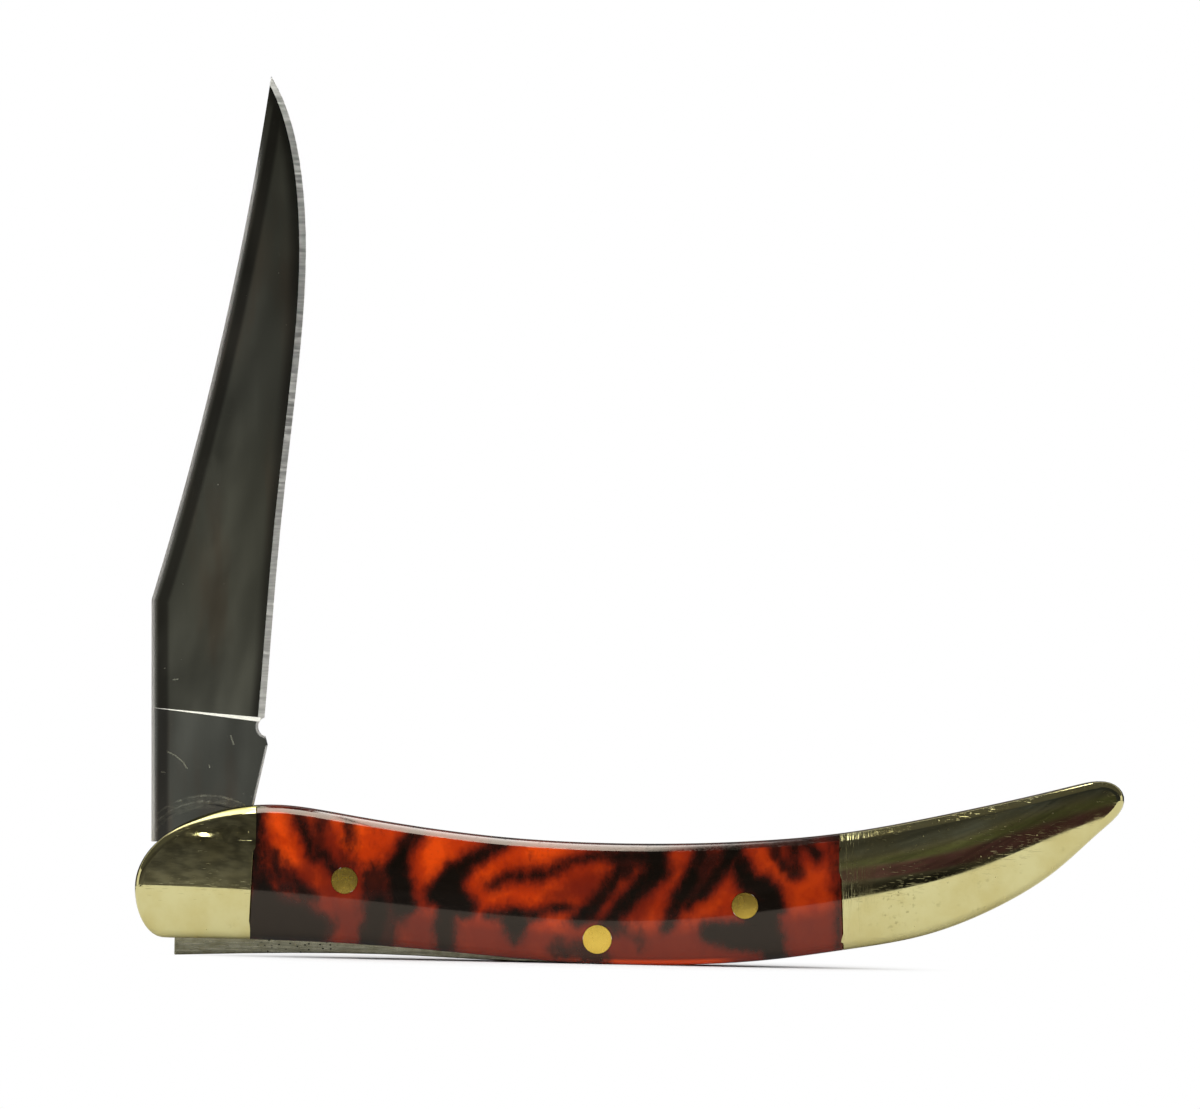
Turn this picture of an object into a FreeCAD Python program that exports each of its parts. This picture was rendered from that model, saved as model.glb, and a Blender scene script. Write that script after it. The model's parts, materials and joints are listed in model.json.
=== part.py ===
"""A slip-joint folding pocket knife, standing on its back with the blade half open.

X runs along the handle to the tail, Y across it and Z up from the surface it stands on.
The origin is on that surface, below the middle of the handle. Left is the side at -Y.
"""
import FreeCAD, Part
import Sketcher
import math
import os

Vector = FreeCAD.Vector
ACROSS = Vector(0, 1, 0)
ALONG = Vector(1, 0, 0)
UP = Vector(0, 0, 1)

# Driving dimensions in millimetres, and leans and slants in degrees
SIZES = {
    # Handle, seen from the side
    "handle_length": 76.2,
    "bolster_height": 10.4,
    "belly_drop": 1.35,
    "waist_height": 9.3,
    "tail_height": 14.9,
    "nose_height": 3.9,
    "chin_setback": 2.3,
    "tail_tip_length": 1.7,
    "tail_tip_height": 1.4,
    "crest_setback": 10.5,
    "front_bolster_length": 9.1,
    "rear_bolster_length": 21.8,
    "front_joint_lean": 2.0,
    "rear_joint_lean": -3.0,
    # Handle, across
    "blade_thickness": 2.0,
    "blade_side_clearance": 0.05,
    "liner_thickness": 0.55,
    "cover_thickness": 2.8,
    "crown_drop": 0.85,
    "edge_round": 0.65,
    # Pins and rivets
    "pivot_pin_diameter": 2.4,
    "pivot_clearance": 0.03,
    "spring_pin_diameter": 2.2,
    "tail_pin_diameter": 2.0,
    "scale_pin_diameter": 2.0,
    "rivet_diameter": 1.6,
    "pin_hole_clearance": 0.015,
    "pin_stand": 0.06,
    # Blade, measured from its pivot
    "blade_length": 61.7,
    "blade_lean": 1.2,
    "pivot_setback": 5.45,
    "spine_offset": 4.3,
    "clip_start": 21.2,
    "clip_hollow": 0.78,
    "tip_offset": 4.9,
    "belly_offset": 7.6,
    "plunge_height": 12.5,
    "plunge_ramp": 0.4,
    "plunge_slant": 7.5,
    "edge_thickness": 0.36,
    "edge_land": 0.04,
    "edge_bevel": 0.5,
    "kick_height": 10.0,
    "kick_offset": 4.65,
    "choil_radius": 0.75,
    "tang_radius": 4.05,
    "tang_flat": 2.8,
    "tang_front": 2.35,
    "nick_height": 18.0,
    "nick_inset": 1.2,
    "nick_length": 8.0,
    "nick_width": 0.9,
    "nick_depth": 0.35,
    "nick_tilt": 25.0,
    # Back spring
    "spring_tip_thickness": 2.1,
    "spring_reach": 2.4,
    "notch_clearance": 0.1,
    "seat_clearance": 0.05,
    "spring_arm_thickness": 1.6,
    "spring_pin_depth": 3.5,
    "spring_tail_thickness": 2.3,
    # Tools that cut reach this far past what they cut
    "cut_overrun": 2.0,
}

# Back edge: the share of front_bolster_length where it leaves the straight under the bolster,
# then shares of handle_length from the nose and shares of belly_drop or tail_height
BACK_START_SHARE = 0.6
BACK_FRONT_SHARES = ((0.2, 0.9), (0.29, 0.64), (0.4, 0.18), (0.5, 0.0))
BACK_TAIL_SHARES = ((0.57, 0.009), (0.64, 0.038), (0.72, 0.1), (0.8, 0.183), (0.87, 0.328), (0.93, 0.522),
                    (0.98, 0.757))
# Top edge: shares of handle_length, then shares of the height above the waist at crest or tail
TOP_FRONT_SHARES = ((0.2, 0.79), (0.28, 0.42), (0.37, 0.125), (0.48, 0.0))
TOP_TAIL_SHARES = ((0.63, 0.075), (0.72, 0.215), (0.81, 0.46), (0.9, 0.75), (0.955, 0.945))
# Crown of the covers: shares of handle_length, of cover_thickness and of the local height, where
# the cover is thickest
CROWN_SHARES = ((-0.03, 0.93, 0.43), (0.12, 1.0, 0.4), (0.28, 1.0, 0.37), (0.42, 1.0, 0.37),
                (0.55, 1.0, 0.39), (0.64, 0.99, 0.43), (0.74, 0.96, 0.475), (0.85, 0.88, 0.505),
                (0.94, 0.76, 0.53), (1.03, 0.6, 0.55))
CROWN_SPAN_SHARE = 0.85
# Edges of a cover that run along it less than this share of their length lie in a joint plane
JOINT_EDGE_SHARE = 0.2
# Pins and rivets: shares of the length of the piece that they hold, then of the local height
FRONT_SCALE_PIN_SHARES = (0.156, 0.49)
SPRING_PIN_SHARES = (0.588, 0.203)
REAR_SCALE_PIN_SHARES = (0.838, 0.47)
FRONT_RIVET_SHARES = (0.82, 0.77)
REAR_RIVET_SHARES = (0.2, 0.5)
TAIL_PIN_SHARES = (0.7, 0.47)
# Cutting edge from heel to past the tip: shares of blade_length, then of belly_offset
EDGE_SHARES = ((0.16, 0.55), (0.34, 0.675), (0.5, 0.8), (0.66, 0.945), (0.8, 1.0), (0.9, 0.93),
               (0.96, 0.807), (1.0, 0.655), (1.03, 0.47))
CLIP_PAST_TIP_SHARE = 0.06
CHOIL_SHARE = 0.55
# Inner edge of the back spring: shares of the way from its front end to the pin, or pin to tail,
# then the share of rear_bolster_length where the block at its tail starts
ARM_SHARES = (0.4, 0.7)
SPRING_ARM_RISE_SHARE = 0.2
SPRING_TAIL_SHARES = (0.3, 0.6, 0.75)
SPRING_BLOCK_SHARE = 0.62


def make_sheet(document):
    """Put every driving dimension into a sheet cell with its own alias."""
    sheet = document.addObject("Spreadsheet::Sheet", "sizes")
    for row, (alias, value) in enumerate(SIZES.items(), start=1):
        sheet.set(f"A{row}", alias)
        sheet.set(f"B{row}", str(value))
        sheet.setAlias(f"B{row}", alias)
    document.recompute()
    return sheet


doc = FreeCAD.newDocument("folding_knife")
cells = make_sheet(doc)


def size(alias):
    """The value of one cell of the sheet."""
    return float(cells.get(alias))


def bind(item, **expressions):
    """Bind properties of an object to expressions in the sheet's aliases."""
    for name, expression in expressions.items():
        item.setExpression(name, expression)
    return item


# Places worked out from the driving dimensions
nose_x = -size("handle_length") / 2
tail_x = size("handle_length") / 2
crest_x = nose_x + size("crest_setback")
front_joint_x = nose_x + size("front_bolster_length")
back_start_x = nose_x + BACK_START_SHARE * size("front_bolster_length")
rear_joint_x = tail_x - size("rear_bolster_length")
crest_z = size("belly_drop") + size("bolster_height")
nose_z = size("belly_drop") + size("nose_height")
tail_tip_z = size("tail_height") - size("tail_tip_height")
well_half = size("blade_thickness") / 2 + size("blade_side_clearance")
liner_face = well_half + size("liner_thickness")
pivot_x = nose_x + size("pivot_setback")
spring_seat = size("tang_flat") + size("seat_clearance")
pivot_z = size("belly_drop") + size("spring_tip_thickness") + spring_seat
overrun = size("cut_overrun")
WELL_HALF = "(sizes.blade_thickness / 2 + sizes.blade_side_clearance)"
HALF_WIDTH = f"({WELL_HALF} + sizes.liner_thickness + sizes.cover_thickness)"


def at(x, z, y=0.0):
    """A point in the frame of the part, with the height second."""
    return Vector(x, y, z)


def smooth(points, start=None, end=None):
    """A smooth curve through points, with a given direction at either end."""
    curve = Part.BSplineCurve()
    if start is None:
        curve.interpolate(points)
    else:
        curve.interpolate(Points=points, InitialTangent=start.normalize(),
                          FinalTangent=end.normalize(), Scale=False)
    return curve


def height_at(curve, x):
    """Height of a side-view curve at one place along the handle, or of its end past that end."""
    low = curve.FirstParameter
    high = curve.LastParameter
    rising = curve.value(high).x > curve.value(low).x
    for _ in range(50):
        middle = (low + high) / 2
        if (curve.value(middle).x < x) == rising:
            low = middle
        else:
            high = middle
    return curve.value(low).z


def back_points():
    """Points of the back edge between the front bolster and the tail tip."""
    length = size("handle_length")
    front = [at(nose_x + along * length, height * size("belly_drop"))
             for along, height in BACK_FRONT_SHARES]
    tail = [at(nose_x + along * length, height * size("tail_height"))
            for along, height in BACK_TAIL_SHARES]
    return front, tail


def make_back_edge():
    """Back edge, from under the front bolster round the belly to the end of the tail."""
    front, tail = back_points()
    points = [at(back_start_x, size("belly_drop"))] + front + tail + [at(tail_x, tail_tip_z)]
    return smooth(points, ALONG, UP)


def make_top_edge():
    """Top edge, from the rounded tail over the waist to the crest of the front bolster."""
    length = size("handle_length")
    waist = size("waist_height")
    front = [at(nose_x + along * length, waist + height * (crest_z - waist))
             for along, height in TOP_FRONT_SHARES]
    tail = [at(nose_x + along * length, waist + height * (size("tail_height") - waist))
            for along, height in TOP_TAIL_SHARES]
    tail_top = at(tail_x - size("tail_tip_length"), size("tail_height"))
    points = [at(crest_x, crest_z)] + front + tail + [tail_top]
    points.reverse()
    return smooth(points, -ALONG, -ALONG)


back_edge = make_back_edge()
top_edge = make_top_edge()


def quarter_ellipse(centre, along_end, up_end):
    """A quarter of an ellipse between its end along X and its end along Z."""
    bend = math.sqrt(2) / 2
    middle = centre + (along_end - centre) * bend + (up_end - centre) * bend
    wide = (along_end - centre).Length
    tall = (up_end - centre).Length
    if math.isclose(wide, tall):
        return Part.Arc(along_end, middle, up_end).toShape()
    ends = (along_end, up_end) if wide > tall else (up_end, along_end)
    ellipse = Part.Ellipse(ends[0], ends[1], centre)
    first = ellipse.parameter(ends[0])
    last = ellipse.parameter(ends[1])
    if last < first:
        last += 2 * math.pi
    return Part.ArcOfEllipse(ellipse, first, last).toShape()


def make_handle_outline():
    """Side outline of the handle as a face in the middle plane."""
    nose = at(nose_x, nose_z)
    chin = at(nose_x + size("chin_setback"), size("belly_drop"))
    crest = at(crest_x, crest_z)
    tail_top = at(tail_x - size("tail_tip_length"), size("tail_height"))
    tail = at(tail_x, tail_tip_z)
    edges = [
        Part.LineSegment(chin, back_edge.StartPoint).toShape(),
        back_edge.toShape(),
        quarter_ellipse(at(tail_top.x, tail.z), tail, tail_top),
        top_edge.toShape(),
        quarter_ellipse(at(crest.x, nose.z), nose, crest),
        quarter_ellipse(at(chin.x, nose.z), nose, chin),
    ]
    return Part.Face(Part.Wire(Part.__sortEdges__(edges)))


def shape_object(name, shape):
    """An object of the document that holds a worked-out shape."""
    item = doc.addObject("Part::Feature", name)
    item.Shape = shape
    return item


def extrude(name, base, forward, backward="0"):
    """Extrude a side-view face across the handle, forward along +Y."""
    item = doc.addObject("Part::Extrusion", name)
    item.Base = base
    item.DirMode = "Custom"
    item.Dir = ACROSS
    item.Solid = True
    return bind(item, LengthFwd=forward, LengthRev=backward)


def boolean(kind, name, shapes):
    """A boolean of two objects, or of a list of them."""
    item = doc.addObject(f"Part::{kind}", name)
    if kind in ("MultiFuse", "MultiCommon"):
        item.Shapes = shapes
    else:
        item.Base, item.Tool = shapes
    return item


def cross_bar(name, diameter, place, one_sided):
    """A round bar across the handle, or out from the blade well, for a pin cut to length."""
    body = doc.addObject("PartDesign::Body", name)
    plane = next(item for item in body.Origin.OriginFeatures if item.Role == "XZ_Plane")
    sketch = body.newObject("Sketcher::SketchObject", f"{name}_section")
    sketch.AttachmentSupport = (plane, [""])
    sketch.MapMode = "FlatFace"
    sketch.addGeometry(Part.Circle(Vector(0, 0, 0), UP, size(diameter) / 2), False)
    sketch.addConstraint(Sketcher.Constraint("Coincident", 0, 3, -1, 1))
    sketch.addConstraint(Sketcher.Constraint("Diameter", 0, size(diameter)))
    sketch.setExpression("Constraints[1]", f"sizes.{diameter}")
    pad = body.newObject("PartDesign::Pad", f"{name}_length")
    pad.Profile = sketch
    pad.Midplane = True
    reach = liner_face + size("cover_thickness") + overrun
    if one_sided:
        bind(pad, Length=f"{HALF_WIDTH} + sizes.cut_overrun - {WELL_HALF}")
        place = place + ACROSS * (reach + well_half) / 2
    else:
        bind(pad, Length=f"2 * ({HALF_WIDTH} + sizes.cut_overrun)")
    body.Tip = pad
    body.Placement = FreeCAD.Placement(place, FreeCAD.Rotation())
    return body


def hole_tool(name, diameter, clearance, place):
    """The tool for the hole of a pin, right across the handle."""
    tool = doc.addObject("Part::Cylinder", name)
    bind(tool, Radius=f"sizes.{diameter} / 2 + sizes.{clearance}",
         Height=f"2 * ({HALF_WIDTH} + sizes.cut_overrun)")
    reach = liner_face + size("cover_thickness") + overrun
    turn = FreeCAD.Rotation(ALONG, -90)
    tool.Placement = FreeCAD.Placement(place - ACROSS * reach, turn)
    return tool


def on_handle(start_x, length, shares):
    """A place given by shares of a piece's length and of the handle's height there."""
    along, up = shares
    x = start_x + along * length
    low = height_at(back_edge, x)
    high = height_at(top_edge, x)
    return at(x, low + up * (high - low))


scale_length = rear_joint_x - front_joint_x
pivot = at(pivot_x, pivot_z)
spring_pin_place = on_handle(front_joint_x, scale_length, SPRING_PIN_SHARES)
tail_pin_place = on_handle(rear_joint_x, size("rear_bolster_length"), TAIL_PIN_SHARES)
PINS = {
    "blade_pivot_pin": ("pivot_pin_diameter", pivot),
    "spring_pin": ("spring_pin_diameter", spring_pin_place),
    "tail_pin": ("tail_pin_diameter", tail_pin_place),
    "front_scale_pin": ("scale_pin_diameter",
                        on_handle(front_joint_x, scale_length, FRONT_SCALE_PIN_SHARES)),
    "rear_scale_pin": ("scale_pin_diameter",
                       on_handle(front_joint_x, scale_length, REAR_SCALE_PIN_SHARES)),
    "front_bolster_rivet": ("rivet_diameter",
                            on_handle(nose_x, size("front_bolster_length"), FRONT_RIVET_SHARES)),
    "rear_bolster_rivet": ("rivet_diameter",
                           on_handle(rear_joint_x, size("rear_bolster_length"), REAR_RIVET_SHARES)),
}
THROUGH_PINS = ("blade_pivot_pin", "spring_pin", "tail_pin")
PROUD_PINS = ("spring_pin", "front_scale_pin", "rear_scale_pin")
HOLES = {name: hole_tool(f"{name}_hole", diameter, "pin_hole_clearance", place)
         for name, (diameter, place) in PINS.items()}


def crown_section(along, thickness_share, apex_share, stand):
    """One D-shaped section of the crowned handle, from its middle plane out to the crown."""
    x = nose_x + along * size("handle_length")
    low = height_at(back_edge, x)
    high = height_at(top_edge, x)
    centre = low + apex_share * (high - low)
    half_height = size("bolster_height") / 2
    radius = (half_height ** 2 + size("crown_drop") ** 2) / (2 * size("crown_drop"))
    span = CROWN_SPAN_SHARE * size("bolster_height")
    apex = liner_face + thickness_share * size("cover_thickness") + stand
    side = apex - radius + math.sqrt(radius ** 2 - span ** 2)
    bottom = at(x, centre - span, side)
    top = at(x, centre + span, side)
    arc = Part.Arc(bottom, at(x, centre, apex), top).toShape()
    flat = Part.makePolygon([top, at(x, centre + span), at(x, centre - span), bottom])
    return Part.Wire([arc] + flat.Edges)


def crown_form(name, stand=0.0):
    """The crowned form that bounds both sides of the handle, or stands proud of it."""
    sections = [crown_section(*shares, stand) for shares in CROWN_SHARES]
    right = Part.makeLoft(sections, True, False)
    return shape_object(name, right.fuse(right.mirror(Vector(0, 0, 0), ACROSS)))


def mirrored(name, source):
    """The left-hand twin of a right-hand piece."""
    item = doc.addObject("Part::Mirroring", name)
    item.Source = source
    item.Normal = ACROSS
    return item


outline = shape_object("handle_outline", make_handle_outline())
flush_form = crown_form("flush_form")
parts = {}


def add_pair(label, right):
    """Name a right-hand piece and make its left-hand twin."""
    right.Label = f"right_{label}"
    left = mirrored(f"left_{label}", right)
    left.Label = f"left_{label}"
    parts[right.Label] = right
    parts[left.Label] = left


def add_single(label, item):
    """Name a piece that the handle has only once."""
    item.Label = label
    parts[label] = item


def make_pins():
    """Through pins and short pins, each cut from a bar where the crown of the covers ends it."""
    proud_form = crown_form("proud_form", size("pin_stand"))
    for name, (diameter, place) in PINS.items():
        one_sided = name not in THROUGH_PINS
        bar = cross_bar(f"{name}_bar", diameter, place, one_sided)
        form = proud_form if name in PROUD_PINS else flush_form
        pin = boolean("Common", f"{name}_cut", (bar, form))
        if one_sided:
            add_pair(name, pin)
        else:
            add_single(name, pin)


def make_liners():
    """Flat side plates of the blade well, with a hole for every pin."""
    block = extrude("liner_block", outline, f"{WELL_HALF} + sizes.liner_thickness",
                    f"-{WELL_HALF}")
    tools = boolean("MultiFuse", "liner_holes", list(HOLES.values()))
    add_pair("liner", boolean("Cut", "liner_plate", (block, tools)))


def joint_tool(name, joint_x, lean, length, tailward):
    """A block that ends at a leaning joint plane and holds all of the handle on one side of it."""
    tool = doc.addObject("Part::Box", name)
    bind(tool, Length=f"{length} + sizes.cut_overrun",
         Width=f"{HALF_WIDTH} + sizes.cut_overrun",
         Height="2 * (sizes.tail_height + sizes.cut_overrun)")
    doc.recompute()
    middle = at(joint_x, (size("belly_drop") + crest_z) / 2)
    corner = Vector(0.0 if tailward else -tool.Length.Value, 0, -tool.Height.Value / 2)
    turn = FreeCAD.Rotation(ACROSS, size(lean))
    tool.Placement = FreeCAD.Placement(middle, turn) * FreeCAD.Placement(corner,
                                                                         FreeCAD.Rotation())
    return tool


def rounded(name, sharp):
    """Round a cover where its crown meets its outline, away from the liner and the joints."""
    doc.recompute()
    radius = size("edge_round")
    item = doc.addObject("Part::Fillet", name)
    item.Base = sharp
    item.Edges = [
        (number, radius, radius) for number, edge in enumerate(sharp.Shape.Edges, start=1)
        if edge.BoundBox.YMin > liner_face + radius
        and edge.BoundBox.XLength > JOINT_EDGE_SHARE * edge.Length
    ]
    return item


def make_covers():
    """Crowned covers, split by the joint planes into bolsters and scales."""
    block = extrude("cover_block", outline, f"{HALF_WIDTH} + sizes.cut_overrun",
                    f"-({WELL_HALF} + sizes.liner_thickness)")
    cover = boolean("Common", "sharp_cover", (block, flush_form))
    front = joint_tool("front_joint_tool", front_joint_x, "front_joint_lean",
                       "sizes.front_bolster_length", False)
    rear = joint_tool("rear_joint_tool", rear_joint_x, "rear_joint_lean",
                      "sizes.rear_bolster_length", True)
    ends = boolean("MultiFuse", "bolster_tools", [front, rear])
    pieces = {
        "front_bolster": (boolean("Common", "front_bolster_form", (cover, front)),
                          ("blade_pivot_pin", "front_bolster_rivet")),
        "rear_bolster": (boolean("Common", "rear_bolster_form", (cover, rear)),
                         ("tail_pin", "rear_bolster_rivet")),
        "scale": (boolean("Cut", "scale_form", (cover, ends)),
                  ("front_scale_pin", "spring_pin", "rear_scale_pin")),
    }
    for label, (form, pins) in pieces.items():
        tools = boolean("MultiFuse", f"{label}_holes", [HOLES[pin] for pin in pins])
        smooth_form = rounded(f"{label}_rounded", form)
        add_pair(label, boolean("Cut", f"{label}_bored", (smooth_form, tools)))


def parameter_at(curve, x):
    """Parameter of a side-view curve at one place along the handle."""
    return curve.parameter(at(x, height_at(curve, x)))


def make_back_spring():
    """Back spring, lifted at the front by the round end of the half-open blade's tang."""
    pin_x = spring_pin_place.x
    front_x = pivot_x - size("spring_reach")
    lift = size("tang_radius") - size("tang_flat")
    slope = lift / (pin_x - pivot_x)
    seat_x = pivot_x + size("tang_radius")
    block_x = rear_joint_x + SPRING_BLOCK_SHARE * size("rear_bolster_length")

    def outer(x):
        return height_at(back_edge, x) - slope * max(0.0, pin_x - x)

    stations = [front_x, front_joint_x] + [point.x for point in back_points()[0] if point.x < pin_x]
    pin_parameter = parameter_at(back_edge, pin_x)
    join = back_edge.value(pin_parameter)
    flush = back_edge.tangent(pin_parameter)[0]
    arm_outer = smooth([at(x, outer(x)) for x in stations] + [join], Vector(1, 0, slope), flush)
    tail_top = top_edge.StartPoint
    block_parameter = parameter_at(top_edge, block_x)
    block_head = top_edge.value(block_parameter)

    arm_x = [seat_x + share * (pin_x - seat_x) for share in ARM_SHARES]
    arm_depth = [size("spring_arm_thickness"),
                 size("spring_arm_thickness")
                 + SPRING_ARM_RISE_SHARE * (size("spring_pin_depth") - size("spring_arm_thickness"))]
    tail_xs = [pin_x + share * (block_x - pin_x) for share in SPRING_TAIL_SHARES]
    seat_start = at(front_x, outer(front_x) + size("spring_tip_thickness"))
    seat_end = at(seat_x, outer(pivot_x) + size("spring_tip_thickness")
                  + slope * (seat_x - pivot_x))
    inner = [seat_end]
    inner += [at(x, outer(x) + depth) for x, depth in zip(arm_x, arm_depth)]
    inner += [at(pin_x, outer(pin_x) + size("spring_pin_depth"))]
    inner += [at(x, outer(x) + size("spring_tail_thickness")) for x in tail_xs]
    block_foot = at(block_x, outer(block_x) + size("spring_tail_thickness"))
    inner += [block_foot]
    edges = [
        arm_outer.toShape(),
        back_edge.toShape(pin_parameter, back_edge.LastParameter),
        quarter_ellipse(at(tail_top.x, tail_tip_z), at(tail_x, tail_tip_z), tail_top),
        top_edge.toShape(top_edge.FirstParameter, block_parameter),
        Part.LineSegment(block_head, block_foot).toShape(),
        smooth(inner).toShape(),
        Part.LineSegment(seat_end, seat_start).toShape(),
        Part.LineSegment(seat_start, arm_outer.StartPoint).toShape(),
    ]
    face = shape_object("spring_outline", Part.Face(Part.Wire(Part.__sortEdges__(edges))))
    strip = extrude("spring_strip", face, WELL_HALF, WELL_HALF)
    tools = boolean("MultiFuse", "spring_holes", [HOLES["spring_pin"], HOLES["tail_pin"]])
    add_single("back_spring", boolean("Cut", "spring_bored", (strip, tools)))


def edge_point(along, out):
    """A point of the cutting edge from its shares, in the frame of the blade."""
    return at(out * size("belly_offset"), along * size("blade_length"))


def grind_section(edge):
    """Section of the ground blade square to its length: faces, sharpened bevel and edge."""
    half = size("blade_thickness") / 2
    thin = size("edge_thickness") / 2
    land = size("edge_land") / 2
    shoulder = edge.x - size("edge_bevel")
    slope = (half - thin) / (shoulder + size("spine_offset"))
    back = -size("spine_offset") - overrun
    thick = half + overrun * slope
    corners = [at(back, edge.z, thick), at(shoulder, edge.z, thin), at(edge.x, edge.z, land),
               at(edge.x, edge.z, -land), at(shoulder, edge.z, -thin), at(back, edge.z, -thick)]
    return Part.makePolygon(corners + corners[:1])


def make_blank_outline():
    """Spine and clip of the ground part of the blade, with its edge side left wide."""
    low = size("plunge_height") - size("plunge_ramp") - size("choil_radius")
    start = at(-size("spine_offset"), size("clip_start"))
    tip = at(size("tip_offset"), size("blade_length"))
    chord = tip - start
    inward = ACROSS.cross(chord).normalize()
    clip = Part.Arc(start, start + chord / 2 + inward * size("clip_hollow"), tip).toShape()
    first, last = clip.ParameterRange
    clip = Part.ArcOfCircle(clip.Curve, first, last + CLIP_PAST_TIP_SHARE * (last - first))
    wide = size("belly_offset") + overrun
    edges = [clip.toShape()]
    edges += Part.makePolygon([clip.EndPoint, at(wide, clip.EndPoint.z), at(wide, low),
                               at(-size("spine_offset"), low), start]).Edges
    return Part.Face(Part.Wire(Part.__sortEdges__(edges)))


def make_tang_outline():
    """Tang and ricasso, with the round end, the two flats, the stop notch and the kick."""
    radius = size("tang_radius")
    flat = size("tang_flat")
    front = size("tang_front")
    top = size("plunge_height") + size("plunge_ramp") + size("choil_radius")
    stop = size("spring_reach") + size("notch_clearance")
    flat_end = at(-flat, -math.sqrt(radius ** 2 - flat ** 2))
    front_end = at(front, -math.sqrt(radius ** 2 - front ** 2))
    kick = at(size("kick_offset"), size("kick_height"))
    heel = at(edge_point(*EDGE_SHARES[0]).x - size("edge_bevel"), top)
    edges = [Part.Arc(flat_end, at(0, -radius), front_end).toShape()]
    edges += Part.makePolygon([front_end, at(front, 0), kick, heel,
                               at(-size("spine_offset"), top), at(-size("spine_offset"), stop),
                               at(-flat, stop), flat_end]).Edges
    return Part.Face(Part.Wire(Part.__sortEdges__(edges)))


def make_plunge_form():
    """A form as thick as the blade that ramps to nothing along the slanted plunge line."""
    half = size("blade_thickness") / 2
    plunge = size("plunge_height")
    ramp = size("plunge_ramp") / 2
    wide = 2 * (size("spine_offset") + size("belly_offset") + overrun)
    low = -2 * (size("tang_radius") + overrun)
    corners = [at(-wide, low, half), at(-wide, plunge - ramp, half), at(-wide, plunge + ramp, 0),
               at(-wide, plunge - ramp, -half), at(-wide, low, -half)]
    form = Part.Face(Part.makePolygon(corners + corners[:1])).extrude(ALONG * 2 * wide)
    form.rotate(at(0, plunge), ACROSS, size("plunge_slant"))
    return form


def make_nick_tool():
    """A tilted disc that cuts the nail nick into the right-hand face beside the spine."""
    tool = doc.addObject("Part::Cylinder", "nick_tool")
    bind(tool, Height="sizes.nick_width",
         Radius="((sizes.nick_length / 2) ^ 2 + sizes.nick_depth ^ 2) / (2 * sizes.nick_depth)")
    doc.recompute()
    floor = at(-size("spine_offset") + size("nick_inset"), size("nick_height"),
               size("blade_thickness") / 2 - size("nick_depth"))
    tilted = FreeCAD.Placement(floor, FreeCAD.Rotation(UP, size("nick_tilt")))
    tool.Placement = tilted * FreeCAD.Placement(ACROSS * tool.Radius.Value,
                                                FreeCAD.Rotation(ACROSS, 90))
    return tool


def make_blade():
    """Blade: a ground part with its sharpened edge, joined to a flat tang."""
    grind = shape_object("grind_form", Part.makeLoft(
        [grind_section(edge_point(along, out)) for along, out in EDGE_SHARES], True, False))
    half = "sizes.blade_thickness / 2"
    blank = extrude("blade_blank", shape_object("blank_outline", make_blank_outline()), half, half)
    ground = boolean("Common", "ground_blade", (blank, grind))
    tang_block = extrude("tang_block", shape_object("tang_outline", make_tang_outline()), half, half)
    plunge = shape_object("plunge_form", make_plunge_form())
    tang = boolean("Common", "tang", (tang_block, plunge))
    whole = boolean("Fuse", "whole_blade", (ground, tang))
    pivot_hole = hole_tool("blade_pivot_hole", "pivot_pin_diameter", "pivot_clearance",
                           Vector(0, 0, 0))
    choil = doc.addObject("Part::Cylinder", "choil_tool")
    bind(choil, Radius="sizes.choil_radius", Height="2 * sizes.blade_thickness")
    choil_z = size("kick_height") + CHOIL_SHARE * (size("plunge_height") - size("kick_height"))
    choil.Placement = FreeCAD.Placement(
        at(size("kick_offset"), choil_z, -size("blade_thickness")), FreeCAD.Rotation(ALONG, -90))
    tools = boolean("MultiFuse", "blade_cuts", [pivot_hole, choil, make_nick_tool()])
    blade = boolean("Cut", "bored_blade", (whole, tools))
    blade.Placement = FreeCAD.Placement(pivot, FreeCAD.Rotation(ACROSS, -size("blade_lean")))
    add_single("blade", blade)


def check_and_write():
    """Stop on any failed object or bad shape, then write one file for each piece."""
    doc.recompute()
    for item in doc.Objects:
        if "Invalid" in item.State or "Error" in item.State:
            raise RuntimeError(f"{item.Label} failed: {item.State}")
    for label, item in parts.items():
        if item.Shape.isNull() or not item.Shape.isValid() or not item.Shape.Solids:
            raise RuntimeError(f"{label} has no valid solid")
    os.makedirs("parts", exist_ok=True)
    for label, item in parts.items():
        item.Shape.exportStep(f"parts/{label}.step")
        box = item.Shape.optimalBoundingBox(False)
        print(f"{label}: {len(item.Shape.Solids)} solid, {item.Shape.Volume:.1f} mm3, "
              f"z {box.ZMin:.3f} to {box.ZMax:.3f}")


make_pins()
make_liners()
make_covers()
make_back_spring()
make_blade()
check_and_write()
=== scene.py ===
"""Looks of the folding pocket knife: smooth covers, finishes, floor, light and camera.

Everything is in metres in the frame of the solids: X along the handle to the tail, Y across it and
Z up from the floor. Left is the side at -Y, which the camera faces. Finishes of the knife work in
millimetres.
"""
import json
import logging
import math
from contextlib import contextmanager
from dataclasses import dataclass, field
from enum import Enum
from functools import reduce
from operator import or_
from typing import Callable, Dict, Iterator, List, Optional, Sequence, Tuple, Union

import bmesh
import bpy
import numpy as np
from bpy.types import Material, Node, NodeSocket, NodeTree, Object
from mathutils import Matrix, Vector, noise


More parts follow.
